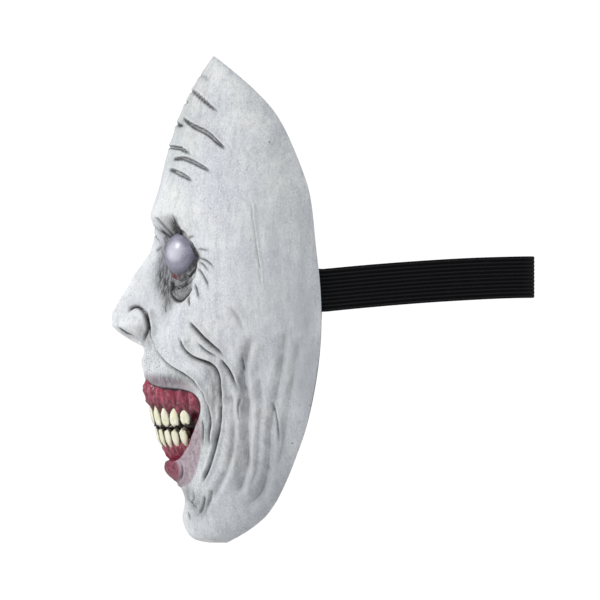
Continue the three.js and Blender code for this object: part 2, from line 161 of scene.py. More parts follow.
def smooth_line(points, step):
    """A smooth line through the points, with corners about step apart."""
    points = np.array(points, float)
    padded = np.vstack([2 * points[0] - points[1], points, 2 * points[-1] - points[-2]])
    pieces = []
    for a, b, c, d in zip(padded, padded[1:], padded[2:], padded[3:]):
        count = max(1, round(np.linalg.norm(c - b) / step))
        f = (np.arange(count) / count)[:, None]
        bend = (2 * a - 5 * b + 4 * c - d) * f ** 2 + (3 * b - a - 3 * c + d) * f ** 3
        pieces.append(b + 0.5 * ((c - a) * f + bend))
    return np.vstack(pieces + [points[-1:]])


def nearest_on(line, points):
    """For each point: its distance to the line, its share along it, and which side it is on.

    The side is +1 behind or above a line that runs down or back, seen from the side.
    """
    best = np.full(len(points), np.inf)
    share = np.zeros(len(points))
    side = np.ones(len(points))
    segments = len(line) - 1
    for k in range(segments):
        run = line[k + 1] - line[k]
        t = np.clip((points - line[k]) @ run / (run @ run + 1e-9), 0, 1)
        offset = points - line[k] - t[:, None] * run
        distance = np.linalg.norm(offset, axis=1)
        closer = distance < best
        best = np.where(closer, distance, best)
        share = np.where(closer, (k + t) / segments, share)
        turned = np.sign(offset[:, -1] * run[-2] - offset[:, -2] * run[-1])
        side = np.where(closer, turned, side)
    return best, share, side


def outside_distance(outline, x, z):
    """Distance from a closed outline in the x-z plane, negative inside it."""
    points = np.stack([x, z], -1)
    distance = nearest_on(outline, points)[0]
    inside = np.zeros(len(points), bool)
    closed = np.vstack([outline, outline[:1]])
    for (ax, az), (bx, bz) in zip(closed, closed[1:]):
        crosses = (az > z) != (bz > z)
        if crosses.any():
            inside ^= crosses & (x < ax + (z - az) * (bx - ax) / (bz - az + 1e-12))
    return np.where(inside, -distance, distance)


def noise_at(points, size, octaves=3, seed=0.0):
    """Fractal noise from about -1 to 1 at each point, with features of that size."""
    place = Vector((seed, seed * 1.7, seed * 0.6))
    flat = points.reshape(-1, 3) / size
    values = [noise.fractal(Vector(p) + place, 0.6, 2.0, octaves) for p in flat]
    return np.array(values).reshape(points.shape[:-1])


def by_height(z, heights, values):
    """A value at each height z, from values at heights that are listed from the top down."""
    return np.interp(-z, [-height for height in heights], values)


# ------------------------------------------------------------------ the face's form
def bowl(side, down):
    """The smooth bowl of the face. side runs from the right rim to the left, -1 to 1."""
    reach = np.sqrt(np.clip(1 - down ** 2, 0, None))
    turn = side * math.pi / 2
    c = np.clip(np.cos(turn), 0, None)
    mid_y = along(MID_Y, down)
    mid_z = along(MID_Z, down)
    x = along(HALF_WIDTH, down) * reach * np.sin(turn)
    y = mid_y + (along(RIM_Y, down) - mid_y) * (1 - c ** along(SQUARENESS, down))
    z = mid_z + (along(RIM_Z, down) - mid_z) * (1 - c)
    return np.stack([x, y, z], -1)


def bowl_normal(side, down, step):
    """The bowl's outward normal, from the bowl a step away on each side."""
    run = bowl(np.clip(side + step, 0, 1), down) - bowl(side - step, down)
    fall = bowl(side, down + step) - bowl(side, down - step)
    normal = np.cross(fall, run)
    return normal / np.linalg.norm(normal, axis=-1, keepdims=True)


def spread(places, closeness, cells):
    """Grid lines along places, closer together where closeness is greater."""
    run = np.concatenate([[0], np.cumsum(closeness[1:] + closeness[:-1])])
    return np.interp(np.linspace(0, run[-1], cells + 1), run, places)


def face_places():
    """The side and down of each grid corner, closer together at the middle and at the lids."""
    fine = np.linspace(-1, 1, 2001)
    lids = 1.6 * np.exp(-((np.abs(fine) - LID_SIDE) / 0.04) ** 2)
    across_lines = spread(fine, 1 / (0.6 + fine ** 2) + lids, CELLS_ACROSS)
    down_lines = spread(fine, 1 / (0.85 + 0.45 * fine ** 2), CELLS_DOWN)
    u, v = np.meshgrid(across_lines, down_lines)
    across = u * np.sqrt(1 - v ** 2 / 2)
    down = v * np.sqrt(1 - u ** 2 / 2)
    reach = np.sqrt(np.clip(1 - down ** 2, 1e-12, None))
    return np.clip(across / reach, -1, 1), down


def outward(points):
    """The outward normal at each corner of a face grid."""
    across = points[1:, 1:] - points[:-1, :-1]
    fall = points[1:, :-1] - points[:-1, 1:]
    cell = np.cross(fall, across)
    normal = np.zeros_like(points)
    for rows in (slice(1, None), slice(None, -1)):
        for columns in (slice(1, None), slice(None, -1)):
            normal[rows, columns] += cell
    return normal / (np.linalg.norm(normal, axis=-1, keepdims=True) + 1e-12)


def push_forms(points):
    """The bowl with its nose, brows, cheeks, sockets, chin and lids pushed out or in."""
    x = np.abs(points[..., 0])
    z = points[..., 2]
    out = by_height(z, NOSE_Z, NOSE_OUT)
    lowered = np.clip((30 - z) / 50, 0, 1)
    half_width = NOSE_ROOT_HALF_WIDTH + (NOSE_TIP_HALF_WIDTH - NOSE_ROOT_HALF_WIDTH) * lowered
    push = out * np.exp(-0.9 * (x / half_width) ** 2.2)
    for form_x, form_z, rx, rz, amount in FORMS:
        push += amount * np.exp(-((x - form_x) / rx) ** 2 - ((z - form_z) / rz) ** 2)
    y = points[..., 1] - push
    off_axis = np.hypot(x - EYE[0], z - EYE[2])
    lid = EYE[1] - np.sqrt(np.clip(LID_RADIUS ** 2 - off_axis ** 2, 0, None))
    lid = np.where(off_axis < LID_RADIUS, lid, EYE[1] + 0.6 * (off_axis - LID_RADIUS) ** 2)
    blend = 2.2
    h = np.clip(0.5 + 0.5 * (y - lid) / blend, 0, 1)
    y = y * (1 - h) + lid * h - blend * h * (1 - h) * 0.5
    return np.stack([points[..., 0], y, z], -1)


# ------------------------------------------------------------------ folds and wrinkles
# Each is drawn on the left side as (y, z) points from its front or top end to its other end, with its
# half width, its depth, the ridges on its far and near sides, and how dark its line is: ink and painted
# shade.
# A fold that starts from the middle of the face runs on into its mirror image.
# gape is half the gap between the two dark edges of a fold that stands open, inked and with painted shade.
def fold(points, width, depth, far, near, dark, from_middle=False, gape=0.0):
    return {"points": points, "width": width, "depth": depth, "far": far, "near": near,
            "dark": dark, "from_middle": from_middle, "gape": gape}


FOLDS = (
    # wing of the nose
    fold([(-115.4, -12.6), (-113, -10), (-109, -8.8), (-106, -10.6), (-103.9, -16), (-103, -22),
          (-104.6, -28), (-106.4, -32.6)], 0.9, 2.0, 0.4, 0.6, 0.8),
    fold([(-121.4, -22.2), (-117, -25), (-112, -27.8), (-107.4, -30.9)], 1.0, 0.7, 0.1, 0.3, 1.0),
    # from the nose round the mouth, and the grooves it runs out in
    fold([(-104.6, -11), (-102, -21), (-99.4, -29.6), (-94.6, -38.6), (-88.6, -45), (-80.6, -49.4),
          (-75.2, -53.2), (-69.2, -60.8), (-65.6, -71), (-65, -81), (-66.2, -92)], 1.2, 2.8, 2.4, 0.2, 1.0),
    fold([(-70.6, -75), (-69.8, -84), (-70.4, -93)], 0.8, 0.9, 0.5, 0.4, 0.5),
    fold([(-58.8, -66), (-59.4, -77), (-61, -86.5), (-64.1, -98), (-67.4, -107.4), (-70.6, -114.5)],
         1.0, 1.5, 0.9, 0.9, 0.6),
    # the cheek's second and third folds
    fold([(-83.8, -29), (-80, -35), (-74.4, -40), (-65.4, -43.2), (-60.4, -48.4), (-59, -57),
          (-58.8, -70)], 1.2, 2.2, 1.8, 0.4, 0.85),
    fold([(-78.1, -18.4), (-69, -28), (-61.9, -34.3), (-56.2, -40)], 1.2, 1.8, 1.3, 0.4, 0.85),
    fold([(-59.8, -40), (-53.9, -47.2), (-51.2, -52.6), (-49.6, -58)], 1.1, 1.6, 1.0, 0.3, 0.85),
    fold([(-73, -31), (-66, -37), (-59, -40)], 0.9, 0.9, 0.4, 0.2, 0.5),
    # long soft furrows towards the rim
    fold([(-40.5, -27), (-44.2, -41), (-44.8, -54), (-42.9, -66), (-43.6, -82), (-43.4, -99), (-46, -112),
          (-50, -120)], 2.6, 1.2, 1.2, 0.5, 0.25),
    fold([(-21.7, -24), (-23.5, -46), (-28.2, -69), (-30.4, -84), (-31, -100), (-34.6, -118), (-45, -129)],
         2.8, 0.7, 0.5, 0.2, 0.2),
    fold([(-53, -60), (-51.6, -76), (-52.4, -91), (-55.6, -105), (-61, -117), (-66, -126)],
         2.0, 0.8, 0.8, 0.4, 0.2),
    fold([(-36, -50), (-35.4, -66), (-36.8, -84), (-38, -104), (-42.5, -119)], 2.0, 0.45, 0.3, 0.2, 0.16),
    fold([(-13, -30), (-17.5, -56), (-21.5, -84), (-26.5, -106)], 2.2, 0.3, 0.2, 0.1, 0.1),
    fold([(-55, -8), (-49, -16), (-45, -27)], 1.8, 0.7, 0.5, 0.3, 0.2),
    # thin lines on the temple and the cheek
    fold([(-41, 52), (-38.4, 30), (-36, 12), (-35.4, -2)], 0.6, 0.5, 0.5, 0.1, 0.12),
    fold([(-29, -64), (-25.6, -76), (-24.4, -90)], 0.7, 0.8, 0.3, 0.3, 0.4),
    fold([(-46.6, -62), (-48.4, -70), (-47.6, -77)], 0.7, 0.8, 0.3, 0.3, 0.5),
    fold([(-46.4, -38), (-45.4, -45), (-46.8, -52)], 0.7, 0.8, 0.3, 0.3, 0.45),
    # forehead
    fold([(-77, 120), (-73, 116.4), (-67.6, 111.4), (-61, 105.6)],
         0.8, 1.1, 0.5, 0.3, 0.75, True, gape=0.5),
    fold([(-82.4, 104), (-79.4, 100.6), (-74.6, 97.4), (-69.2, 94.6), (-63.6, 90.2), (-56, 83)],
         0.9, 1.3, 0.8, 0.3, 0.8, gape=1.0),
    fold([(-90.4, 86), (-84, 85), (-77, 81)], 0.8, 1.0, 0.5, 0.3, 0.75, True, gape=0.75),
    fold([(-89, 78.4), (-82.7, 78.6), (-77.3, 77.2), (-72, 74.4), (-64.6, 70)],
         0.85, 1.2, 0.7, 0.4, 0.75, gape=0.9),
    fold([(-91, 72.8), (-83.6, 69.8), (-75.4, 64.8)], 0.85, 1.1, 0.7, 0.4, 0.75, gape=0.95),
    fold([(-81.2, 113.4), (-79.4, 112.4)], 0.9, 1.2, 0.4, 0.3, 0.7, True),
    fold([(-86.4, 100), (-83.6, 99), (-80.8, 98.4)], 1.0, 1.4, 0.4, 0.3, 0.9, True),
    fold([(-70, 128), (-65.5, 124.5)], 1.0, 0.6, 0.3, 0.3, 0.2, True),
    # bridge of the nose
    fold([(-99.4, 38.4), (-96.8, 35), (-94.6, 32.2)], 0.9, 1.0, 0.3, 0.3, 0.55, True),
    fold([(-99.6, 33.6), (-98, 31), (-96.4, 29)], 0.8, 0.8, 0.3, 0.3, 0.5, True),
    fold([(-98.8, 24), (-95, 26.4), (-92.4, 28.4)], 0.8, 0.8, 0.3, 0.3, 0.5),
    fold([(-99.4, 43), (-95.5, 42.4), (-92, 40.6)], 0.9, 0.9, 0.3, 0.4, 0.45),
    # brow edge over the eye
    fold([(-92.5, 37.5), (-88, 38.6), (-84.7, 37.3), (-80.7, 34.6), (-77.6, 30.6), (-74.4, 25.6),
          (-72.6, 19.9), (-73.4, 14), (-75.3, 8.5)], 1.1, 1.7, 1.7, -0.2, 1.0),
    fold([(-97.5, 42), (-94, 38), (-90.5, 38.2)], 0.9, 1.2, 0.4, 0.4, 0.7),
    fold([(-98.4, 38.4), (-96, 34.6), (-92.4, 33)], 0.9, 1.1, 0.4, 0.4, 0.7),
    fold([(-90.4, 46), (-89.4, 42), (-87.4, 39.6)], 0.9, 1.0, 0.4, 0.4, 0.55),
    fold([(-86.4, 45), (-86, 41.8), (-84.4, 39.4)], 0.8, 0.7, 0.3, 0.3, 0.35),
    # lower lid
    fold([(-72.6, 17.6), (-75.6, 13.6), (-79.4, 9.4), (-83.4, 5.6)], 0.55, 0.9, 0.5, 0.5, 1.0),
    fold([(-72.8, 14.4), (-75.4, 10.6), (-78.8, 6.4), (-83.6, 2.8)], 0.55, 0.9, 0.5, 0.5, 1.0),
    fold([(-73.3, 11), (-75.6, 7), (-78.8, 3.4), (-82.4, 0.8)], 0.55, 0.8, 0.4, 0.4, 0.9),
    fold([(-89.4, 9), (-89.6, 4), (-88.9, -1.6), (-86.4, -5.6), (-82.4, -5.8), (-78.6, -1.8), (-75.6, 3.6)],
         1.0, 1.6, 0.2, 0.3, 1.0),
    fold([(-87.6, 4), (-87, -0.6), (-84.6, -3)], 0.5, 0.6, 0.3, 0.3, 0.9),
    fold([(-91.4, 6), (-91.2, 1), (-89.6, -4)], 0.8, 0.7, 0.2, 0.3, 0.8),
    # crow's feet
    fold([(-71.9, 19.9), (-68.6, 18.6), (-65, 15.8), (-63, 13.4)], 0.7, 0.8, 0.35, 0.35, 0.7),
    fold([(-72.2, 17.6), (-69, 15.4), (-66, 11.6)], 0.7, 0.8, 0.3, 0.3, 0.6),
    fold([(-72.8, 13.8), (-69.4, 9.4), (-67, 5), (-66.2, 1.2)], 0.7, 0.9, 0.35, 0.35, 0.7),
    fold([(-74.8, 5.6), (-73.2, 0.8), (-71.6, -4.8)], 0.7, 0.9, 0.3, 0.3, 0.75),
    fold([(-77.8, -1.8), (-78, -5.6), (-77.6, -9.6)], 0.7, 0.8, 0.3, 0.3, 0.65),
    fold([(-72.4, 24.6), (-69.4, 24.8), (-66, 23.6)], 0.7, 0.6, 0.3, 0.3, 0.4),
    fold([(-78, 31.4), (-76.6, 32.4), (-75, 32)], 0.7, 0.7, 0.2, 0.2, 0.6),
    # cheek under the pouch
    fold([(-93, -8.4), (-92.6, -10.8), (-91.8, -13.2)], 0.7, 0.6, 0.2, 0.3, 0.7),
    # round the lower lip
    fold([(-86.6, -115.6), (-83.8, -113.4), (-82.2, -108.4), (-83, -103.4)], 1.0, 1.5, 0.4, 0.9, 0.5),
    # chin
    fold([(-80, -123.4), (-76.4, -126.6), (-73.6, -130.6)], 0.8, 1.0, 0.4, 0.4, 0.55),
    fold([(-77, -118), (-75.4, -123), (-77.4, -128.4)], 0.7, 0.7, 0.4, 0.4, 0.3),
    fold([(-79.8, -131.6), (-77.8, -134.4), (-78.4, -137.4)], 0.8, 0.9, 0.4, 0.3, 0.65),
    fold([(-68.4, -121), (-69.6, -128), (-73.4, -134.6)], 0.9, 0.8, 0.4, 0.4, 0.45),
    fold([(-64, -117), (-66, -125), (-69, -133)], 1.3, 0.7, 0.4, 0.4, 0.3),
)


def on_skin(skin, y, z):
    """The point of the left side that is seen at (y, z) from the side."""
    off = np.hypot(skin[:, 1] - y, skin[:, 2] - z)
    return skin[np.argmin(np.maximum(off, 0.8) - 0.01 * skin[:, 0])]


def fold_line(skin, this):
    """A fold's drawn line laid on the skin."""
    line = np.array([on_skin(skin, y, z) for y, z in smooth_line(this["points"], 1.6)])
    for _ in range(3):
        line[1:-1] = (line[:-2] + 2 * line[1:-1] + line[2:]) / 4
    if this["from_middle"]:
        line[0, 0] = 0
        line = smooth_line(line, 1.6)
        line = np.array([skin[np.argmin(((skin - place) ** 2).sum(1))] for place in line])
    return line


def fold_ends(this, share, length):
    """How strong a fold is along its length: it dies out at its far end, and its near end is blunter."""
    strength = smoothstep(0, min(8, 0.4 * length), (1 - share) * length)
    if not this["from_middle"]:
        strength *= smoothstep(0, min(4, 0.3 * length), share * length)
    return 0.1 + 0.9 * strength


def fold_relief(this, distance, side):
    """A fold's groove and its two ridges: side is 1 on its far side and -1 on its near side."""
    width = this["width"]
    signed = distance * side
    groove = -this["depth"] * np.exp(-(distance / width) ** 2)
    far = this["far"] * np.exp(-((signed - 1.9 * width) / (1.5 * width)) ** 2)
    near = this["near"] * np.exp(-((signed + 1.9 * width) / (1.5 * width)) ** 2)
    return groove + far + near


def fold_paint(this, distance, side, share):
    """A fold's dark line of ink and painted shade, its soft painted shade, and its painted highlight beside
    the ridge, each from 0 to 1.
    """
    width = this["width"]
    gape = this["gape"] * np.sin(math.pi * share) ** 0.7
    higher = max(this["near"], this["far"])
    if this["gape"]:
        stroke, band_ink, haze, raised = 0.48, 0.15, 0.1, 1
    else:
        stroke, band_ink, haze, raised = min(0.9, 0.7 * width), 0.35, 0.33, min(1, higher)
    edges = np.exp(-((distance - gape) / stroke) ** 2)
    band = band_ink * np.exp(-(distance / (1.1 * width)) ** 4)
    soft = haze * np.exp(-(distance / (2.3 * width)) ** 2)
    # painted highlight on the lit side of the fold's ridge
    lit_side = -1 if this["near"] > this["far"] else 1
    crest_highlight = np.exp(-((distance * side * lit_side - 1.9 * width - 0.4 * gape) / (0.7 * width)) ** 2)
    return np.maximum(band, edges), soft, crest_highlight * raised


def press_folds(points):
    """How far the folds move each point outwards, and their dark lines of ink and painted shade, their soft
    painted shade and their painted highlights on the ridges.
    """
    flat = points.reshape(-1, 3).copy()
    left = flat[flat[:, 0] >= 0]
    flat[:, 0] = np.abs(flat[:, 0])
    relief = np.zeros(len(flat))
    paints = np.zeros((3, len(flat)))
    waver = noise_at(flat, 9, 2, 3.1)
    for this in FOLDS:
        line = fold_line(left, this)
        margin = 5 * this["width"]
        near = ((flat > line.min(0) - margin) & (flat < line.max(0) + margin)).all(1)
        distance, share, side = nearest_on(line, flat[near])
        length = np.linalg.norm(np.diff(line, axis=0), axis=1).sum()
        strength = fold_ends(this, share, length) * (1 + min(0.7, 0.3 * this["width"]) * waver[near])
        relief[near] += fold_relief(this, distance, side) * strength
        painted = this["dark"] * strength * np.array(fold_paint(this, distance, side, share))
        paints[:, near] = np.maximum(paints[:, near], painted)
    shape = points.shape[:-1]
    ink_and_shade, soft, light = paints.reshape(3, *shape)
    return np.clip(relief, -3.4, 3.2).reshape(shape), np.clip(ink_and_shade, 0, 1), soft, light


# Soft airbrushed shade, as (y, z) ellipses seen from the side: centre, radii, amount.
SHADES = (
    (-74, 106, 17, 34, 0.13),
    (-90, 37.8, 4.2, 3.4, 1.0),
    (-94.4, 12, 4.6, 14, 0.9),
    (-92, 3, 3.6, 13, 1.0),
    (-90.6, -5, 3.4, 6, 0.8),
    (-106.6, -24, 3, 5, 0.34),
    (-101.8, -30, 1.8, 7, 0.3),
    (-93, -54, 15, 4, 0.7),
    (-101, -40, 5, 8, 0.12),
    (-66, -50, 3, 6, 0.35),
    (-62.5, -58, 2.4, 12, 0.5),
    (-67, -74, 2.4, 14, 0.3),
    (-86, -116, 4, 3, 0.4),
    (-79, -121, 3.6, 6, 0.36),
    (-73, -128, 5, 8, 0.3),
    (-47, -52, 3, 16, 0.25),
    (-50, -96, 4, 18, 0.16),
)
# Stippled areas, in the same way: centre, radii, how square the edge is, amount.
PORES = (
    (-99, -41, 9, 9, 4, 1.0),
    (-110, -10, 14, 30, 4, 0.12),
    (-62, 44, 10, 9, 2, 0.3),
    (-78, -126, 7, 9, 2, 0.3),
)
# Areas painted by hand, as (y, z) outlines seen from the side.
# HOLLOW is painted shade: the dark socket round the eye.
HOLLOW = ((-92, 40), (-87.2, 38), (-82.2, 36.2), (-78.5, 31.4), (-75.8, 26.6), (-73, 22.3), (-72.8, 17.6),
          (-73.9, 12.7), (-75.6, 8.4), (-76.1, 3), (-78.8, -2.4), (-82.6, -5.6), (-86.8, -6), (-89, -2.8),
          (-90.6, 2.2), (-91, 9), (-93, 18), (-93.5, 33))
LIP_FLESH = ((-73, -64), (-71.2, -75), (-70.6, -90), (-72, -101), (-74.6, -109), (-78, -114.6), (-84, -117),
             (-90, -116.5), (-98, -108), (-94, -92), (-84, -72))
LIP_LOBE = ((-98, -101), (-88, -100.4), (-84.6, -103.6), (-83.8, -108.6), (-85.2, -113.4), (-88, -116),
            (-95, -117), (-99, -108))
UPPER_LIP = ((-112, -47), (-103, -49.6), (-94, -51.6), (-85, -53), (-78, -55), (-74, -61), (-90, -64),
             (-112, -60))
CARUNCLE = ((-89, 11.4), (-86.4, 10.4), (-83.2, 9.4), (-84.8, 6.8), (-87.4, 7.6))


def drawn(points, outline, soft):
    """1 inside an outline drawn on the side of the face, and 0 beyond its soft edge."""
    y, z = points[..., 1], points[..., 2]
    low, high = np.min(outline, 0) - 2 * soft, np.max(outline, 0) + 2 * soft
    near = (y > low[0]) & (y < high[0]) & (z > low[1]) & (z < high[1])
    amount = np.zeros(points.shape[:-1])
    line = smooth_line(outline + outline[:1], 1.5)
    amount[near] = smoothstep(soft, -soft, outside_distance(line, y[near], z[near]))
    return amount


def airbrush(points):
    shade = np.zeros(points.shape[:-1])
    for y, z, ry, rz, amount in SHADES:
        spot = np.exp(-((points[..., 1] - y) / ry) ** 2 - ((points[..., 2] - z) / rz) ** 2)
        shade = np.maximum(shade, amount * spot)
    # painted shade in the socket round the eye
    shade = np.maximum(shade, 0.62 * drawn(points, HOLLOW, 1.1))
    return shade * smoothstep(4, 12, np.abs(points[..., 0]))


# ------------------------------------------------------------------ openings
def off_arch(x, out, middle_y):
    """The place that stands out from the dental arch at x, square to it."""
    slope = 2 * ARCH * x
    length = np.sqrt(1 + slope ** 2)
    return x + out * slope / length, middle_y + ARCH * x ** 2 - out / length


def gum_front(x, z):
    """How far forward the gums stand behind the lips."""
    out = by_height(z, UPPER_GUM["z"] + LOWER_GUM["z"], UPPER_GUM["out"] + LOWER_GUM["out"])
    middle_y = np.where(z > LOWER_GUM["z"][0], UPPER_TEETH["y"], LOWER_TEETH["y"])
    at = x
    for _ in range(4):
        at = x - (off_arch(at, out, middle_y)[0] - at)
    return off_arch(at, out, middle_y)[1]


def round_eye(points):
    """Distance from the eye's centre, the way to it, and where that is on the ball, in millimetres."""
    away = np.stack([np.abs(points[:, 0]), points[:, 1], points[:, 2]], -1) - EYE
    reach = np.linalg.norm(away, axis=1)
    turn = np.arctan2(away[:, 0], -away[:, 1])
    rise = np.arcsin(away[:, 2] / reach)
    toward = -away / reach[:, None] * np.where(points[:, :1] < 0, [[-1, 1, 1]], [[1, 1, 1]])
    return reach, toward, EYE_RADIUS * turn, EYE_RADIUS * rise


def distance_where(near, outline, across, up):
    """Distance outside an outline at the places that are near it, and FAR elsewhere."""
    distance = np.full(len(across), FAR)
    distance[near] = outside_distance(outline, across[near], up[near])
    return distance


def slit_distance(x, z):
    """Distance outside the crescent sight slit under the eye."""
    off_x = x - EYE[0]
    off_z = z - EYE[2]
    ring = np.abs(np.hypot(off_x, off_z) - SLIT["radius"]) - SLIT["half_width"]
    past_end = (np.abs(np.arctan2(off_x, -off_z)) - SLIT["half_angle"]) * SLIT["radius"]
    return np.maximum(ring, past_end)


def nostril_distance(x, z):
    share = np.hypot((x - NOSTRIL["x"]) / NOSTRIL["rx"], (z - NOSTRIL["z"]) / NOSTRIL["rz"])
    return NOSTRIL["rz"] * (share - 1)


def rolled(distance, target, round_off, run, power):
    """How far in the skin is at a distance outside an opening: all the way to the target at -run."""
    t = np.clip((round_off - distance) / (round_off + run), 0, 1)
    return np.maximum(target, 1.5) * t ** power


def open_face(points):
    """Rolls the edges of the openings in.

    Returns the outer skin, the inner skin's move, which corners lie in a hole, and the distance
    outside the mouth and the eyes.
    """
    shape = points.shape[:-1]
    flat = points.reshape(-1, 3)
    x = np.abs(flat[:, 0])
    y, z = flat[:, 1], flat[:, 2]
    reach, toward_eye, turn, rise = round_eye(flat)
    front = y < -45
    near_eye = front & (reach < 28)
    near_mouth = front & (z < -35) & (z > -125)
    lids = smooth_line(np.radians(EYE_OPENING + EYE_OPENING[:1]) * EYE_RADIUS, 1.2)
    mouth = distance_where(near_mouth, smooth_line(MOUTH, 1.5), x, z)
    eye = distance_where(near_eye, lids, turn, rise)
    slit = np.where(near_eye, slit_distance(x, z), FAR)
    nostril = np.where(front, nostril_distance(x, z), FAR)

    def move(outset):
        back = rolled(mouth - outset, gum_front(x, z) + 1.3 - y, 1.0, 1.4, 2.4)
        back += rolled(slit - outset, 3.4, 0.4, 0.9, 1.4)
        back += rolled(nostril - outset, 5.0, 0.6, 1.6, 1.4)
        sunk = rolled(eye - outset * 0.7, reach - EYE_RADIUS + 2, 1.4, 1.0, 2.0)
        return toward_eye * sunk[:, None] + np.stack([0 * back, back, 0 * back], -1)

    hole = (mouth < -1.4) | (eye < -1.0) | (slit < -0.8) | (nostril < -1.5)
    outer = points + move(0).reshape(points.shape)
    inner_move = move(2.2).reshape(points.shape)
    return outer, inner_move, hole.reshape(shape), mouth.reshape(shape), eye.reshape(shape)


def kept_cells(hole):
    """The grid cells that stay, with no two holes that touch at a corner only."""
    keep = ~(hole[1:, 1:] & hole[1:, :-1] & hole[:-1, 1:] & hole[:-1, :-1])
    for _ in range(4):
        a, b, c, d = keep[:-1, :-1], keep[:-1, 1:], keep[1:, :-1], keep[1:, 1:]
        b &= ~(b & c & ~a & ~d)
        a &= ~(a & d & ~b & ~c)
    return keep


# ------------------------------------------------------------------ meshes
def round_angles(count):
    return np.linspace(0, 2 * math.pi, count, endpoint=False)


def new_piece(name, vertices, faces, materials, face_slots=None):
    """An object from vertices in millimetres."""
    mesh = bpy.data.meshes.new(name)
    if isinstance(faces, np.ndarray):
        faces = faces.tolist()
    mesh.from_pydata((np.asarray(vertices) * MM).tolist(), [], faces)
    for material in materials:
        mesh.materials.append(material)
    if face_slots is not None:
        mesh.polygons.foreach_set("material_index", np.asarray(face_slots, np.int32))
    mesh.polygons.foreach_set("use_smooth", np.ones(len(mesh.polygons), bool))
    mesh.update()
    mesh.set_sharp_from_angle(angle=math.radians(62))
    piece = bpy.data.objects.new(name, mesh)
    bpy.context.scene.collection.objects.link(piece)
    return piece


def paint(piece, name, values):
    attribute = piece.data.attributes.new(name, "FLOAT", "POINT")
    attribute.data.foreach_set("value", np.asarray(values, np.float32).ravel())


def grid_faces(rows, columns, wrap=False):
    """Quads of a grid whose columns may close on themselves."""
    index = np.arange(rows * columns).reshape(rows, columns)
    if wrap:
        index = np.hstack([index, index[:, :1]])
    return np.stack([index[:-1, :-1], index[1:, :-1], index[1:, 1:], index[:-1, 1:]], -1).reshape(-1, 4)


def end_fans(rings, around):
    """Triangles that close both ends of a tube, whose middles are the two vertices after its own."""
    first, last = rings * around, (rings - 1) * around
    faces = []
    for k in range(around):
        following = (k + 1) % around
        faces.append([first, k, following])
        faces.append([first + 1, last + following, last + k])
    return faces


def closed_skin(front, back, keep):
    """Faces of two grids joined round every open edge, and which of them face inwards."""
    rows, columns = front.shape[:2]
    count = rows * columns
    outer = grid_faces(rows, columns)[keep.ravel()]
    inner = outer[:, ::-1] + count
    edges = np.concatenate([outer[:, [k, (k + 1) % 4]] for k in range(4)])
    code = edges[:, 0] * count + edges[:, 1]
    reverse = edges[:, 1] * count + edges[:, 0]
    border = edges[~np.isin(code, reverse)]
    walls = np.stack([border[:, 1], border[:, 0], border[:, 0] + count, border[:, 1] + count], -1)
    faces = np.concatenate([outer, inner, walls])
    slots = np.concatenate([np.zeros(len(outer)), np.ones(len(inner)), np.zeros(len(walls))])
    used = np.unique(faces)
    renumber = np.zeros(2 * count, int)
    renumber[used] = np.arange(len(used))
    vertices = np.concatenate([front.reshape(-1, 3), back.reshape(-1, 3)])[used]
    return vertices, renumber[faces], slots, used


# ------------------------------------------------------------------ materials
def linear(red, green, blue):
    """A colour given as it looks on screen, 0 to 255, as the renderer's linear colour."""
    return tuple(((c / 255 + 0.055) / 1.055) ** 2.4 if c > 10 else c / 255 / 12.92
                 for c in (red, green, blue)) + (1,)


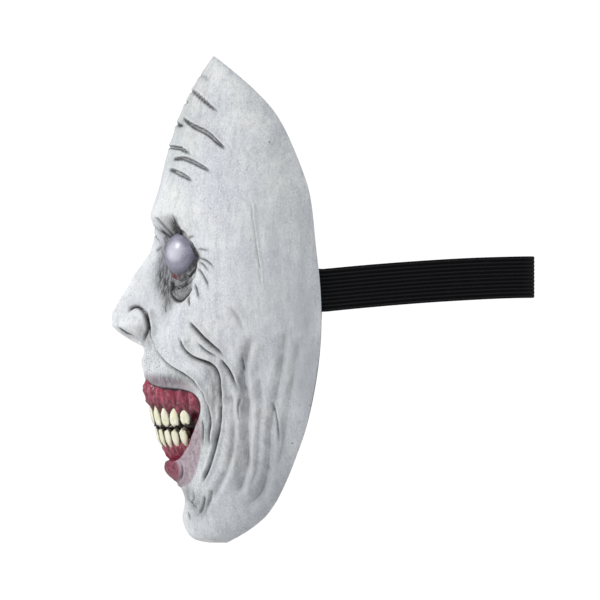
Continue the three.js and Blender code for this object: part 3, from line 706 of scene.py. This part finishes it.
class Finish:
    """A procedural material under construction."""

    def __init__(self, name, roughness, **constants):
        self.material = bpy.data.materials.new(name)
        self.material.use_nodes = True
        self.nodes = self.material.node_tree.nodes
        self.links = self.material.node_tree.links
        self.shader = self.nodes["Principled BSDF"]
        self.shader.inputs["Roughness"].default_value = roughness
        for socket, value in constants.items():
            self.shader.inputs[socket.replace("_", " ")].default_value = value
        self.place = self.nodes.new("ShaderNodeTexCoord").outputs["Object"]

    def join(self, value, socket):
        if isinstance(value, bpy.types.NodeSocket):
            self.links.new(value, socket)
        else:
            socket.default_value = value

    def add(self, kind, **values):
        """A new node, with what each of its sockets takes."""
        node = self.nodes.new("ShaderNode" + kind)
        for socket, value in values.items():
            self.join(value, node.inputs[socket.replace("_", " ")])
        return node

    def stretched(self, scale):
        return self.add("Mapping", Vector=self.place, Scale=scale).outputs["Vector"]

    def noise(self, size, detail=3.0, roughness=0.55, place=None):
        """Noise with features of that many millimetres."""
        node = self.add("TexNoise", Vector=place or self.place, Scale=1 / (size * MM), Detail=detail,
                        Roughness=roughness)
        return node.outputs["Fac"]

    def cells(self, size):
        return self.add("TexVoronoi", Vector=self.place, Scale=1 / (size * MM)).outputs["Distance"]

    def mask(self, name):
        node = self.add("Attribute")
        node.attribute_name = name
        return node.outputs["Fac"]

    def ramp(self, value, low, high, to_low=0.0, to_high=1.0):
        """A smooth step from to_low, where the value is low, to to_high, where it is high."""
        node = self.add("MapRange", Value=value, From_Min=low, From_Max=high, To_Min=to_low, To_Max=to_high)
        node.interpolation_type = "SMOOTHSTEP"
        return node.outputs["Result"]

    def product(self, a, b):
        node = self.add("Math")
        node.operation = "MULTIPLY"
        self.join(a, node.inputs[0])
        self.join(b, node.inputs[1])
        return node.outputs["Value"]

    def patchy(self, mask, noise, low, high, least, most=1.0):
        """A painted mask, broken up by noise."""
        return self.product(self.mask(mask), self.ramp(noise, low, high, least, most))

    def mix(self, share, a, b):
        node = self.add("Mix")
        node.data_type = "RGBA"
        self.join(share, node.inputs["Factor"])
        self.join(a, node.inputs["A"])
        self.join(b, node.inputs["B"])
        return node.outputs["Result"]

    def mottled(self, share, first, second):
        return self.mix(share, linear(*first), linear(*second))

    def wash(self, body, share, colour):
        """A share of a colour laid over what is there already."""
        return self.mix(share, body, linear(*colour))

    def colour(self, value):
        self.join(value, self.shader.inputs["Base Color"])

    def roughness(self, value):
        self.join(value, self.shader.inputs["Roughness"])

    def bump(self, height, depth):
        """Fine relief, depth millimetres deep, on top of what is there already."""
        node = self.add("Bump", Height=height, Distance=depth * MM)
        before = self.shader.inputs["Normal"].links
        if before:
            self.links.new(before[0].from_socket, node.inputs["Normal"])
        self.links.new(node.outputs["Normal"], self.shader.inputs["Normal"])


def painted_latex():
    """Grey-white airbrushed latex with inked creases and wet pink lips, with painted shade in the creases
    and towards the rim, painted light on the nose and painted highlights along the folds' ridges.
    """
    finish = Finish("painted_latex", 0.6, Specular_IOR_Level=0.35, Subsurface_Weight=0.05,
                    Subsurface_Scale=0.003, Subsurface_Radius=(1.0, 0.8, 0.7))
    streaks = finish.stretched((1.0, 1.0, 0.16))
    noise, ramp, patchy, mask = finish.noise, finish.ramp, finish.patchy, finish.mask
    body = finish.mottled(ramp(noise(26, 4), 0.4, 0.6), (248, 250, 251), (229, 234, 238))
    for share, colour in (
        # streaks, lilac and green clouds, and finer blotches
        (ramp(noise(9, 5, 0.65, streaks), 0.45, 0.65, 0, 0.42), (192, 198, 205)),
        (ramp(noise(38, 2), 0.5, 0.64, 0, 0.26), (204, 207, 226)),
        (ramp(noise(31, 2, 0.5, streaks), 0.52, 0.66, 0, 0.22), (206, 220, 206)),
        (ramp(noise(4, 5, 0.75), 0.5, 0.64, 0, 0.32), (172, 176, 184)),
        (ramp(noise(1.4, 4, 0.75, streaks), 0.5, 0.62, 0, 0.26), (156, 160, 168)),
        (ramp(noise(0.9, 3, 0.65), 0.52, 0.62, 0, 0.26), (150, 153, 160)),
        (ramp(noise(1.2, 3, 0.6), 0.5, 0.38, 0, 0.5), (253, 253, 253)),
        # painted shade: darker towards the rim, more so lower down
        (patchy("rim", noise(14, 4, 0.6, streaks), 0.35, 0.65, 0.35, 0.75), (182, 186, 193)),
        # painted light: paler on the front of the nose
        (patchy("nose_light", noise(3, 5, 0.7), 0.38, 0.62, 0.2, 0.7), (247, 249, 252)),
        # pores, and a few stray specks
        (patchy("pores", finish.cells(1.7), 0.32, 0.1, 0.0), (84, 78, 82)),
        (ramp(finish.cells(17), 0.04, 0.025, 0, 0.75), (84, 80, 84)),
        (patchy("shade", noise(1.3, 5, 0.75, streaks), 0.4, 0.58, 0.62), (48, 47, 52)),
        # painted highlight along the folds' ridges
        (patchy("ridge", noise(2.4, 4, 0.6), 0.3, 0.6, 0.3, 0.75), (240, 242, 244)),
        (patchy("lilac", noise(2.6, 5, 0.65), 0.3, 0.66, 0.55, 0.95), (166, 140, 152)),
        (patchy("lilac", noise(3.6, 4, 0.6), 0.55, 0.68, 0.0, 0.4), (120, 100, 114)),
    ):
        body = finish.wash(body, share, colour)
    flesh = finish.mottled(ramp(noise(2.6, 4, 0.6), 0.3, 0.7), (104, 30, 50), (158, 80, 102))
    body = finish.mix(mask("crimson"), body, flesh)
    # ink and painted shade: dark lines in the creases, along the lids' edges and along the top of the mouth
    body = finish.wash(body, patchy("ink_and_shade", noise(2, 4), 0.3, 0.55, 0.8), (40, 39, 44))
    body = finish.wash(body, mask("red"), (100, 10, 34))
    finish.colour(body)
    finish.roughness(ramp(mask("wet"), 0, 1, 0.6, 0.24))
    finish.bump(noise(0.9, 4, 0.65), 0.16)
    finish.bump(noise(5, 3, 0.5), 0.35)
    return finish.material


def raw_latex():
    """Unpainted cream latex with pour marks, on the inside and the patches."""
    finish = Finish("raw_latex", 0.62, Specular_IOR_Level=0.35, Subsurface_Weight=0.1,
                    Subsurface_Scale=0.004, Subsurface_Radius=(1.0, 0.7, 0.4))
    noise, ramp = finish.noise, finish.ramp
    body = finish.mottled(ramp(noise(22, 4), 0.35, 0.7), (224, 212, 178), (206, 190, 150))
    body = finish.wash(body, ramp(noise(4, 5, 0.6), 0.5, 0.8, 0, 0.4), (184, 164, 122))
    finish.colour(body)
    finish.bump(noise(2.5, 4, 0.55), 0.3)
    finish.bump(noise(12, 2), 0.8)
    return finish.material


def gum_flesh():
    """Wet crimson gum with dark grooves between the roots: painted shade in those grooves and along its
    edges, and darker painted shade behind the teeth and at the mouth's corners.
    """
    finish = Finish("gum", 0.28, Specular_IOR_Level=0.5, Subsurface_Weight=0.12, Subsurface_Scale=0.002,
                    Subsurface_Radius=(1.0, 0.3, 0.3), Coat_Weight=0.25, Coat_Roughness=0.15)
    upright = finish.stretched((1.0, 1.0, 0.3))
    noise, ramp = finish.noise, finish.ramp
    body = finish.mottled(ramp(noise(3, 4, 0.6, upright), 0.35, 0.68), (138, 40, 66), (196, 88, 112))
    body = finish.wash(body, ramp(noise(1.4, 3, 0.6, upright), 0.5, 0.66, 0, 0.6), (96, 22, 42))
    # painted shade in the grooves between the roots and along the gum's edges
    body = finish.wash(body, finish.mask("groove"), (66, 12, 28))
    # painted shade where the gum falls back behind the teeth and towards the mouth's corners
    body = finish.wash(body, finish.mask("dark"), (22, 16, 18))
    finish.colour(body)
    finish.bump(noise(1.2, 3), 0.12)
    return finish.material


def tooth_enamel():
    """Ivory with brown at the neck, and grime and painted shade down its sides and along its biting edge.
    """
    finish = Finish("tooth", 0.3, Specular_IOR_Level=0.5, Subsurface_Weight=0.08, Subsurface_Scale=0.002,
                    Subsurface_Radius=(1.0, 0.8, 0.5), Coat_Weight=0.2, Coat_Roughness=0.2)
    upright = finish.stretched((1.0, 1.0, 0.25))
    noise, ramp = finish.noise, finish.ramp
    body = finish.mottled(ramp(noise(2.6, 3, 0.6, upright), 0.35, 0.7), (255, 253, 232), (243, 238, 202))
    # brown at the neck, and painted shade down the sides and along the biting edge
    body = finish.wash(body, finish.patchy("grime_and_shade", noise(1.6, 4, 0.6), 0.2, 0.6, 0.6), (56, 46, 34))
    finish.colour(body)
    finish.bump(noise(1.5, 3, 0.5, upright), 0.12)
    return finish.material


def clouded_eye():
    """A blind pearl eye under clear gloss."""
    finish = Finish("eye", 0.34, Specular_IOR_Level=0.5, Coat_Weight=0.3, Coat_Roughness=0.22,
                    Subsurface_Weight=0.15, Subsurface_Scale=0.003, Subsurface_Radius=(0.8, 0.8, 1.0))
    noise, ramp = finish.noise, finish.ramp
    body = finish.mottled(ramp(noise(7, 5, 0.65), 0.4, 0.6), (176, 176, 194), (150, 150, 170))
    body = finish.wash(body, ramp(noise(0.9, 5, 0.7), 0.46, 0.6, 0, 0.6), (122, 122, 146))
    body = finish.wash(body, finish.mask("milky"), (226, 225, 238))
    # painted shade: darker round the ball away from its outer front
    body = finish.wash(body, finish.mask("edge"), (100, 96, 114))
    finish.colour(body)
    return finish.material


def elastic_webbing():
    """Black knitted elastic: the yarn's rows run across the ribs."""
    finish = Finish("elastic_webbing", 0.8, Specular_IOR_Level=0.12, Sheen_Weight=0.04, Sheen_Roughness=0.5)
    along_run = finish.add("CombineXYZ", X=finish.mask("run"), Y=finish.mask("across")).outputs["Vector"]
    knit = finish.add("TexWave", Vector=along_run, Scale=0.42, Distortion=1.2, Detail_Scale=1.5)
    knit.wave_type = "BANDS"
    knit.bands_direction = "X"
    # painted highlight and shade: the ribs' crests lighter, the hollows between them near black
    crest_highlight = finish.ramp(finish.mask("rib"), 0.55, 1.0)
    body = finish.mottled(crest_highlight, (6, 6, 8), (50, 51, 56))
    body = finish.wash(body, finish.product(knit.outputs["Fac"], 0.3), (16, 16, 19))
    body = finish.wash(body, finish.ramp(finish.noise(6, 4), 0.5, 0.75, 0, 0.12), (48, 48, 54))
    finish.colour(body)
    finish.bump(knit.outputs["Fac"], 0.12)
    finish.bump(finish.noise(0.5, 2), 0.06)
    return finish.material


def stage_white():
    finish = Finish("stage_white", 0.9, Specular_IOR_Level=0.1)
    finish.colour(finish.mottled(finish.noise(600, 1), (246, 246, 246), (243, 243, 244)))
    return finish.material


# ------------------------------------------------------------------ the latex face
def skin_masks(points, ink_and_shade, soft, light, mouth, eye):
    """Where each paint goes, from 0 to 1."""
    y, z = points[..., 1], points[..., 2]
    lower = smoothstep(-62, -68, z)
    low = smoothstep(90, 0, z)
    edge = smoothstep(1.2, 0.1, mouth)
    crimson = np.maximum(drawn(points, LIP_LOBE, 1.6), edge * lower)
    lilac = np.maximum(drawn(points, LIP_FLESH, 0.9), 0.5 * drawn(points, UPPER_LIP, 2.2))
    red = drawn(points, CARUNCLE, 0.6)
    lids = smoothstep(0.9, 0.0, eye)
    pores = np.full(y.shape, 0.06)
    for mid_y, mid_z, ry, rz, power, amount in PORES:
        pores += amount * np.exp(-np.abs((y - mid_y) / ry) ** power - np.abs((z - mid_z) / rz) ** power)
    # dark lines: ink and painted shade in the creases, painted shade along the lids' edges and the top edge
    # of the mouth
    lines = np.maximum(np.maximum(ink_and_shade, lids * (1 - red)), edge * (1 - lower))
    shade = 1 - (1 - airbrush(points)) ** 2 * (1 - soft) ** 1.5
    return {
        "ink_and_shade": 1 - (1 - lines) ** 2.2,
        "shade": shade,
        # painted highlight beside the folds' ridges
        "ridge": np.clip(light, 0, 1),
        "crimson": np.clip(crimson, 0, 1),
        "lilac": lilac,
        "red": red,
        "wet": np.clip(0.7 * lilac + crimson + red, 0, 1),
        "pores": np.clip(pores, 0, 1),
        # painted shade: darker towards the rim, more so lower down
        "rim": smoothstep(-74 - 16 * low, -8, y) * (0.6 + 0.4 * low),
        # painted light: paler on the front of the nose
        "nose_light": smoothstep(-92, -106, y) * smoothstep(-34, -24, z),
    }


def make_face(latex, inside):
    """The latex skin: its painted outside, its raw inside, and the rolled edges of its openings."""
    side, down = face_places()
    formed = push_forms(bowl(side, down))
    normal = outward(formed)
    relief, ink_and_shade, soft, light = press_folds(formed)
    at_rim = smoothstep(1.0, 0.93, np.maximum(np.abs(side), np.abs(down)))
    swell = 0.45 * noise_at(formed, 30, 2, 5.3) + 0.22 * noise_at(formed, 8, 2, 1.7)
    lifted = formed + normal * ((relief + swell) * (0.35 + 0.65 * at_rim))[..., None]
    outer, inner_move, hole, mouth, eye = open_face(lifted)
    inner = formed + normal * (0.35 * relief * at_rim - WALL)[..., None]
    inner += inner_move
    vertices, faces, slots, used = closed_skin(outer, inner, kept_cells(hole))
    piece = new_piece("latex_face", vertices, faces, [latex, inside], slots)
    for name, values in skin_masks(lifted, ink_and_shade, soft, light, mouth, eye).items():
        paint(piece, name, np.tile(values.ravel(), 2)[used])
    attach(piece, "mask")
    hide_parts("face_shell")


# ------------------------------------------------------------------ gums, teeth and eyes
def arch_run(x):
    """Length along the dental arch from its middle to x."""
    k = 2 * ARCH * np.abs(x)
    return np.sign(x) * (k * np.sqrt(1 + k ** 2) + np.arcsinh(k)) / (4 * ARCH)


def make_gum(name, node, levels, row, sign, flesh):
    """A gum that bulges over each root and is scalloped round each tooth.

    sign is -1 where the teeth hang below the gum, and 1 where they stand above it. The gum runs from
    behind the lip to its margin at the teeth, and on behind them to the other gum.
    """
    columns = 300
    x = np.linspace(-GUM_REACH, GUM_REACH, columns)
    over_root = 0.5 + 0.5 * np.cos(2 * math.pi * (arch_run(x) / row["pitch"] - 0.5))
    scallop = GUM_SCALLOP * (2 * over_root - 1)
    margin = row["margin"] - sign * scallop + sign * row["margin_slope"] * np.abs(x)
    heights = levels["z"][::-sign]
    end = heights[-1] + GUM_OVERLAP * sign
    # share is 1 at the margin, past is 1 at the end, and the last rows fall back behind the teeth.
    share = np.concatenate([np.linspace(0, 1, 26), np.ones(5)])[:, None]
    past = np.concatenate([np.zeros(26), np.linspace(0.2, 1, 5)])[:, None]
    set_back = np.concatenate([np.zeros(24), [0.3, 0.8, 2.0, 3.0, 2.6, 1.4, 0.4]])[:, None]
    set_back = set_back + 2.4 * past * smoothstep(20, 30, np.abs(x))
    z = heights[0] + (margin - heights[0]) * share + (end - margin) * past
    out = by_height(z, levels["z"], levels["out"])
    at_margin = smoothstep(0.65, 1, share)
    ridge = over_root ** 0.7 * smoothstep(0.15, 0.6, share) * (1 - 0.85 * at_margin)
    lumps = noise_at(np.stack([np.broadcast_to(x, z.shape), out, z], -1), 3.2, 3, 2.2)
    relief = (1.6 * ridge + 0.8 * lumps) * (1 - past) - set_back
    front = np.stack([*off_arch(x, out + relief, row["y"]), z], -1)
    back = np.stack([*off_arch(x, out - GUM_THICKNESS, row["y"]), z], -1)
    cracked = np.clip(0.75 + 0.9 * lumps, 0, 1)
    # painted shade: darker between the roots, in a rolled line over the back teeth and along the gum's
    # edges
    between = (1 - smoothstep(0.02, 0.3, over_root)) * smoothstep(0.2, 0.8, share) * 0.85 * cracked
    rolled = 0.8 * np.exp(-((share - 0.86) / 0.035) ** 2) * smoothstep(12, 22, np.abs(x)) * cracked
    edges = np.maximum(smoothstep(0.9, 1.0, share) * 0.8, smoothstep(0.3, 0.0, share) * 0.6)
    groove = np.maximum(np.maximum(between, rolled), edges)
    # painted shade: darker behind the teeth and towards the mouth's corners
    dark = np.maximum(smoothstep(0.4, 1.0, past), smoothstep(31, 41, np.abs(x)) * 0.4)
    if sign > 0:
        front, back, groove, dark = front[::-1], back[::-1], groove[::-1], dark[::-1]
    keep = np.ones((len(share) - 1, columns - 1), bool)
    vertices, faces, _, used = closed_skin(front, back, keep)
    piece = new_piece(name, vertices, faces, [flesh])
    paint(piece, "groove", np.tile(groove.ravel(), 2)[used])
    paint(piece, "dark", np.tile(dark.ravel(), 2)[used])
    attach(piece, "mask")
    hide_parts(node)


def tooth_vertices(row, index, seed):
    """Rings from the root to the biting edge, in the tooth's own frame, edge at -Z."""
    rings, around = 18, 28
    t = np.linspace(0, 1, rings)[:, None]
    angle = round_angles(around)[None]
    molar = min(1.0, max(0.0, (index - 1.5) / 2))       # 0 for a front tooth, 1 for the last one
    belly = 0.3 + 0.7 * smoothstep(0.12, row["widest"], t)
    edge_round = np.sqrt(np.clip(1 - row["round"] * np.clip((t - 0.7) / 0.3, 0, 1) ** 2.2, 0, 1))
    corner_round = np.sqrt(np.clip(1 - np.clip((t - 0.93) / 0.07, 0, 1) ** 2 * 0.7, 0, 1))
    root_round = np.sqrt(np.clip(1 - np.clip((0.12 - t) / 0.12, 0, 1) ** 2, 0, 1)) * 0.96 + 0.04
    half_width = row["width"] / 2 * belly * edge_round * corner_round * root_round
    thin = 1 - (0.5 - 0.4 * molar) * np.clip((t - 0.3) / 0.7, 0, 1) ** 1.3
    sunk = 0.35 + 0.65 * smoothstep(0.1, row["widest"] - 0.1, t)
    half_depth = row["depth"] / 2 * thin * sunk * corner_round * root_round
    power = 2 / (2.4 + 0.8 * molar)
    x = half_width * np.sign(np.cos(angle)) * np.abs(np.cos(angle)) ** power
    y = half_depth * np.sign(np.sin(angle)) * np.abs(np.sin(angle)) ** power
    height = row["height"] - row["shorter"] * index
    z = np.broadcast_to(height * (1 - t) - row["bites"][index], x.shape).copy()
    wave = np.cos(x / row["width"] * 2 * math.pi * (1.2 + molar) + seed)
    worn_edge = np.clip((t - 0.8) / 0.2, 0, 1)
    z += (0.35 + 0.45 * molar) * wave * worn_edge
    points = np.stack([x, y, z], -1)
    bumps = noise_at(points + seed * 7.3, 3.0, 2, 0.4)
    points[..., :2] *= (1 + 0.06 * bumps)[..., None]
    return points, t, angle


def make_tooth(row, side_name, side, index, sign, enamel):
    """sign is -1 for a tooth that hangs down, and 1 for one that stands up."""
    node = f"{row['name']}_tooth_{side_name}_{index + 1}"
    low, high = (np.array(corner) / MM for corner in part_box(node))
    centre = (low + high) / 2
    centre[1] = row["y"] + ARCH * centre[0] ** 2
    seed = 1.3 * index + (0 if side > 0 else 0.9) + (0 if sign < 0 else 5)
    points, t, angle = tooth_vertices(row, index, seed)
    points[..., 2] *= -sign
    lean = 0.07 * math.sin(seed * 3.7)
    turn = Euler((row["tilt"], lean, math.atan(2 * ARCH * centre[0])), "YXZ").to_matrix()
    rings, around = points.shape[:2]
    turned = points.reshape(-1, 3) @ np.array(turn).T + centre
    caps = turned.reshape(rings, around, 3)[[0, -1]].mean(1)
    vertices = np.vstack([turned, caps])
    faces = grid_faces(rings, around, True).tolist() + end_fans(rings, around)
    if sign < 0:
        faces = [face[::-1] for face in faces]
    piece = new_piece(node.replace("tooth", "enamel"), vertices, faces, [enamel])
    # Darker at the neck, down both flanks and at the biting edge: brown at the neck, painted shade on the
    # flanks and the edge.
    neck = smoothstep(0.3, 0.12, t) * 0.8 * np.ones_like(angle)
    flank = smoothstep(0.72, 0.96, np.abs(np.cos(angle))) * np.ones_like(t)
    bite = smoothstep(0.95, 1.0, t) * 0.7 * np.ones_like(angle)
    grime_and_shade = np.maximum(np.maximum(neck, flank), bite)
    paint(piece, "grime_and_shade", np.append(grime_and_shade.ravel(), [1.0, 0.4]))
    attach(piece, "mask")
    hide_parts(node)


def make_eye(side_name, side, glaze):
    """A glossy ball, closed behind the lids by a flat back."""
    rings, around = 40, 72
    polar = np.linspace(0.02, 1.82, rings)[:, None]
    angle = round_angles(around)[None]
    radius = EYE_RADIUS * (1 + 0.004 * np.cos(3 * angle + 4 * polar))
    centre = EYE * np.array([side, 1, 1])
    x = centre[0] + radius * np.sin(polar) * np.cos(angle)
    y = centre[1] - radius * np.cos(polar) * np.ones_like(angle)
    z = centre[2] + radius * np.sin(polar) * np.sin(angle)
    ball = np.stack([x, y, z], -1)
    front = centre - [0, EYE_RADIUS, 0]
    back = ball[-1].mean(0)
    vertices = np.vstack([ball.reshape(-1, 3), front, back])
    faces = grid_faces(rings, around, True).tolist() + end_fans(rings, around)
    faces = [face[::-1] for face in faces]
    piece = new_piece(f"eyeball_{side_name}", vertices, faces, [glaze])
    outer_front = np.array([side * 0.76, -0.6, 0.12])
    facing = (vertices - centre) @ outer_front / EYE_RADIUS / np.linalg.norm(outer_front)
    paint(piece, "milky", smoothstep(0.84, 1.0, facing) * 0.75)
    # painted shade: darker round the ball away from its outer front
    paint(piece, "edge", smoothstep(0.88, 0.5, facing) * 0.9)
    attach(piece, "mask")
    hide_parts(f"eye_dome_{side_name}")


# ------------------------------------------------------------------ strap and patches
def strap_height(y):
    return STRAP_RISE * (1 - (1 - np.clip(y, 0, REAR_Y) / REAR_Y) ** 1.6)


def strap_half_route():
    """The left half of the strap in plan and height, from its glued end to the rear."""
    centre_y = REAR_Y - REAR_BEND
    reach = math.hypot(ANCHOR[0], centre_y - ANCHOR[1])
    bend_turn = math.atan2(ANCHOR[0], centre_y - ANCHOR[1]) - math.asin(REAR_BEND / reach)
    tangent = (REAR_BEND * math.cos(bend_turn), centre_y + REAR_BEND * math.sin(bend_turn))
    share = np.linspace(STRAP_END_SIDE, 1.0, 14)
    down = np.full_like(share, STRAP_END_DOWN)
    depth = WALL + 0.4 + STRAP_THICKNESS / 2
    glued = bowl(share, down) - bowl_normal(share, down, 0.004) * depth
    f = np.linspace(0, 1, 70) ** 1.3
    bow = 3.2 * (f / 0.1) * np.exp(1 - f / 0.1)
    x = ANCHOR[0] + (tangent[0] - ANCHOR[0]) * f + bow
    y = ANCHOR[1] + (tangent[1] - ANCHOR[1]) * f
    run_out = np.stack([x, y, strap_height(y)], -1)
    turn = np.linspace(bend_turn, math.pi / 2, 26)[1:]
    bend_y = centre_y + REAR_BEND * np.sin(turn)
    bend = np.stack([REAR_BEND * np.cos(turn), bend_y, strap_height(bend_y)], -1)
    route = np.vstack([glued[:-2], run_out, bend])
    for _ in range(6):
        route[1:24] = (route[:23] + 2 * route[1:24] + route[2:25]) / 4
    return smooth_line(route, 1.5)


def webbing(name, route, elastic):
    """Ribbed webbing on edge along a route."""
    per_rib = 6
    across = np.linspace(-1, 1, STRAP_RIBS * per_rib + 1)
    rib = 0.5 + 0.5 * np.cos(across * math.pi * STRAP_RIBS)
    selvage = np.sqrt(np.clip(1 - np.abs(across) ** 24, 0, 1)) * 0.8 + 0.2
    half = STRAP_THICKNESS / 2 * (0.62 + 0.38 * rib) * selvage
    loop_w = np.concatenate([across, across[::-1]]) * STRAP_WIDTH / 2
    loop_t = np.concatenate([half, -half[::-1]])
    loop_rib = np.concatenate([rib, rib[::-1]])
    tangent = np.gradient(route, axis=0)
    tangent /= np.linalg.norm(tangent, axis=1, keepdims=True)
    up = np.array([0, 0, 1.0]) - tangent * tangent[:, 2:]
    up /= np.linalg.norm(up, axis=1, keepdims=True)
    outward_side = np.cross(tangent, up)
    run = np.concatenate([[0], np.cumsum(np.linalg.norm(np.diff(route, axis=0), axis=1))])
    waver = 0.25 * np.sin(run / 23) + 0.15 * np.sin(run / 9.1 + 1)
    ring = (route[:, None] + up[:, None] * (loop_w[None] * (1 + 0.01 * waver[:, None]))[..., None]
            + outward_side[:, None] * loop_t[None, :, None])
    count, around = ring.shape[:2]
    vertices = ring.reshape(-1, 3)
    faces = grid_faces(count, around, True).tolist()
    half_loop = around // 2
    for k in range(half_loop - 1):
        a, b = k, k + 1
        c, d = around - 2 - k, around - 1 - k
        faces.append([a, b, c, d])
        base = (count - 1) * around
        faces.append([base + d, base + c, base + b, base + a])
    piece = new_piece(name, vertices, faces, [elastic])
    paint(piece, "rib", np.broadcast_to(loop_rib, (count, around)))
    paint(piece, "run", np.broadcast_to(run[:, None], (count, around)))
    paint(piece, "across", np.broadcast_to(loop_w[None], (count, around)))
    return piece


def make_strap(elastic):
    half = strap_half_route()
    seam = int(np.argmax(half[:, 1] > SEAM_Y))
    mirror = np.array([-1, 1, 1])
    for side_name, side in SIDES:
        near = half[:seam + 1] * (1 if side > 0 else mirror)
        piece = webbing(f"strap_near_{side_name}", near, elastic)
        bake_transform(piece)
        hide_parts(f"strap_end_{side_name}")
    whole = np.vstack([half[seam:], (half[seam:-1] * mirror)[::-1]])
    piece = webbing("strap_far", whole, elastic)
    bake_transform(piece)
    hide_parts("strap_side_left", "strap_side_right", "strap_back")


def make_patch(side_name, side, latex):
    """A latex patch pressed over the strap's glued end and on to the wall round it."""
    rows, columns = 44, 40
    middle = PATCH_HEIGHT / 2
    share = np.linspace(0.004, PATCH_SHARE, columns)[None] * np.ones((rows, 1))
    rise = np.linspace(-middle, middle, rows)[:, None] * np.ones((1, columns))
    ragged = 0.008 * np.sin(rise / 2.7) + 0.005 * np.sin(rise / 1.1 + 2)
    share = share + ragged * (share / PATCH_SHARE) ** 3
    rise = rise + 0.5 * np.sin(share * 60) * (rise / middle) ** 3
    down = STRAP_END_DOWN + DOWN_PER_MM * rise
    wall = bowl(1 - share, down)
    normal = bowl_normal(1 - share, down, 0.003)
    over = smoothstep(14.6, 12.8, np.abs(rise)) * smoothstep(0.225, 0.205, share)
    grain = 0.12 * noise_at(wall, 4, 3, 8.8)
    top = WALL + 1.0 + (STRAP_THICKNESS + 0.5) * over + grain
    border = np.minimum(smoothstep(17, 15.6, np.abs(rise)), smoothstep(PATCH_SHARE, 0.255, share))
    front = wall - normal * (top * border + (WALL + 0.35) * (1 - border))[..., None]
    back = wall - normal * (WALL + 0.2 + (STRAP_THICKNESS + 0.5) * over)[..., None]
    flip = np.array([side, 1, 1])
    front, back = front * flip, back * flip
    if side > 0:
        front, back = front[:, ::-1], back[:, ::-1]
    vertices, faces, _, _ = closed_skin(front, back, np.ones((rows - 1, columns - 1), bool))
    piece = new_piece(f"glued_patch_{side_name}", vertices, faces, [latex])
    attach(piece, "mask")
    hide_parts(f"strap_patch_{side_name}")


# ------------------------------------------------------------------ stage, lights, camera
VIEW_CENTRE = Vector((0, -0.012, -0.0054))
VIEW_HEIGHT = 0.36
CAMERA_DISTANCE = 3.0
STUDIO_GLOW = 0.28
STUDIO_WHITE = 1.05
FLOOR_Z = -0.36
FLOOR_RADIUS = 2.1
# name, place, size and power
LIGHTS = (
    ("key", (0.65, -1.8, 1.2), 0.7, 25),
    ("side_fill", (1.7, 0.2, 0.7), 1.4, 3.6),
    ("front_fill", (-0.2, -1.9, -0.3), 1.2, 10.5),
)


def make_stage():
    around = 96
    angle = round_angles(around)
    ring = np.stack([FLOOR_RADIUS * np.cos(angle), FLOOR_RADIUS * np.sin(angle), 0 * angle + FLOOR_Z], -1)
    floor = new_piece("floor", ring / MM, [list(range(around))], [stage_white()])


def area_light(name, place, size, power):
    data = bpy.data.lights.new(name, "AREA")
    data.size = size
    data.energy = power
    lamp = bpy.data.objects.new(name, data)
    lamp.location = place
    lamp.rotation_euler = (VIEW_CENTRE - Vector(place)).to_track_quat("-Z", "Y").to_euler()
    bpy.context.scene.collection.objects.link(lamp)


def make_lights():
    """A white studio whose walls look brighter than the light that they give."""
    world = bpy.data.worlds.new("studio")
    world.use_nodes = True
    nodes = world.node_tree.nodes
    background = nodes["Background"]
    seen = nodes.new("ShaderNodeMapRange")
    seen.inputs["To Min"].default_value = STUDIO_GLOW
    seen.inputs["To Max"].default_value = STUDIO_WHITE
    ray = nodes.new("ShaderNodeLightPath")
    world.node_tree.links.new(ray.outputs["Is Camera Ray"], seen.inputs["Value"])
    world.node_tree.links.new(seen.outputs["Result"], background.inputs["Strength"])
    background.inputs["Color"].default_value = (1, 1, 1, 1)
    bpy.context.scene.world = world
    bpy.context.scene.view_settings.view_transform = "Standard"
    for light in LIGHTS:
        area_light(*light)


def make_camera():
    data = bpy.data.cameras.new("camera")
    data.sensor_width = 36
    data.lens = data.sensor_width * CAMERA_DISTANCE / VIEW_HEIGHT
    camera = bpy.data.objects.new("camera", data)
    camera.location = VIEW_CENTRE + Vector((CAMERA_DISTANCE, 0, 0))
    camera.rotation_euler = Vector((-1, 0, 0)).to_track_quat("-Z", "Y").to_euler()
    bpy.context.scene.collection.objects.link(camera)
    bpy.context.scene.camera = camera


# ------------------------------------------------------------------ assembly
make_camera()
inside_latex = raw_latex()
make_face(painted_latex(), inside_latex)
gum_material = gum_flesh()
make_gum("upper_gum_flesh", "upper_gum", UPPER_GUM, UPPER_TEETH, -1, gum_material)
make_gum("lower_gum_flesh", "lower_gum", LOWER_GUM, LOWER_TEETH, 1, gum_material)
enamel_material = tooth_enamel()
eye_material = clouded_eye()
for name_of_side, direction in SIDES:
    for number in range(TEETH_PER_SIDE):
        make_tooth(UPPER_TEETH, name_of_side, direction, number, -1, enamel_material)
        make_tooth(LOWER_TEETH, name_of_side, direction, number, 1, enamel_material)
    make_eye(name_of_side, direction, eye_material)
    make_patch(name_of_side, direction, inside_latex)
make_strap(elastic_webbing())
make_stage()
make_lights()
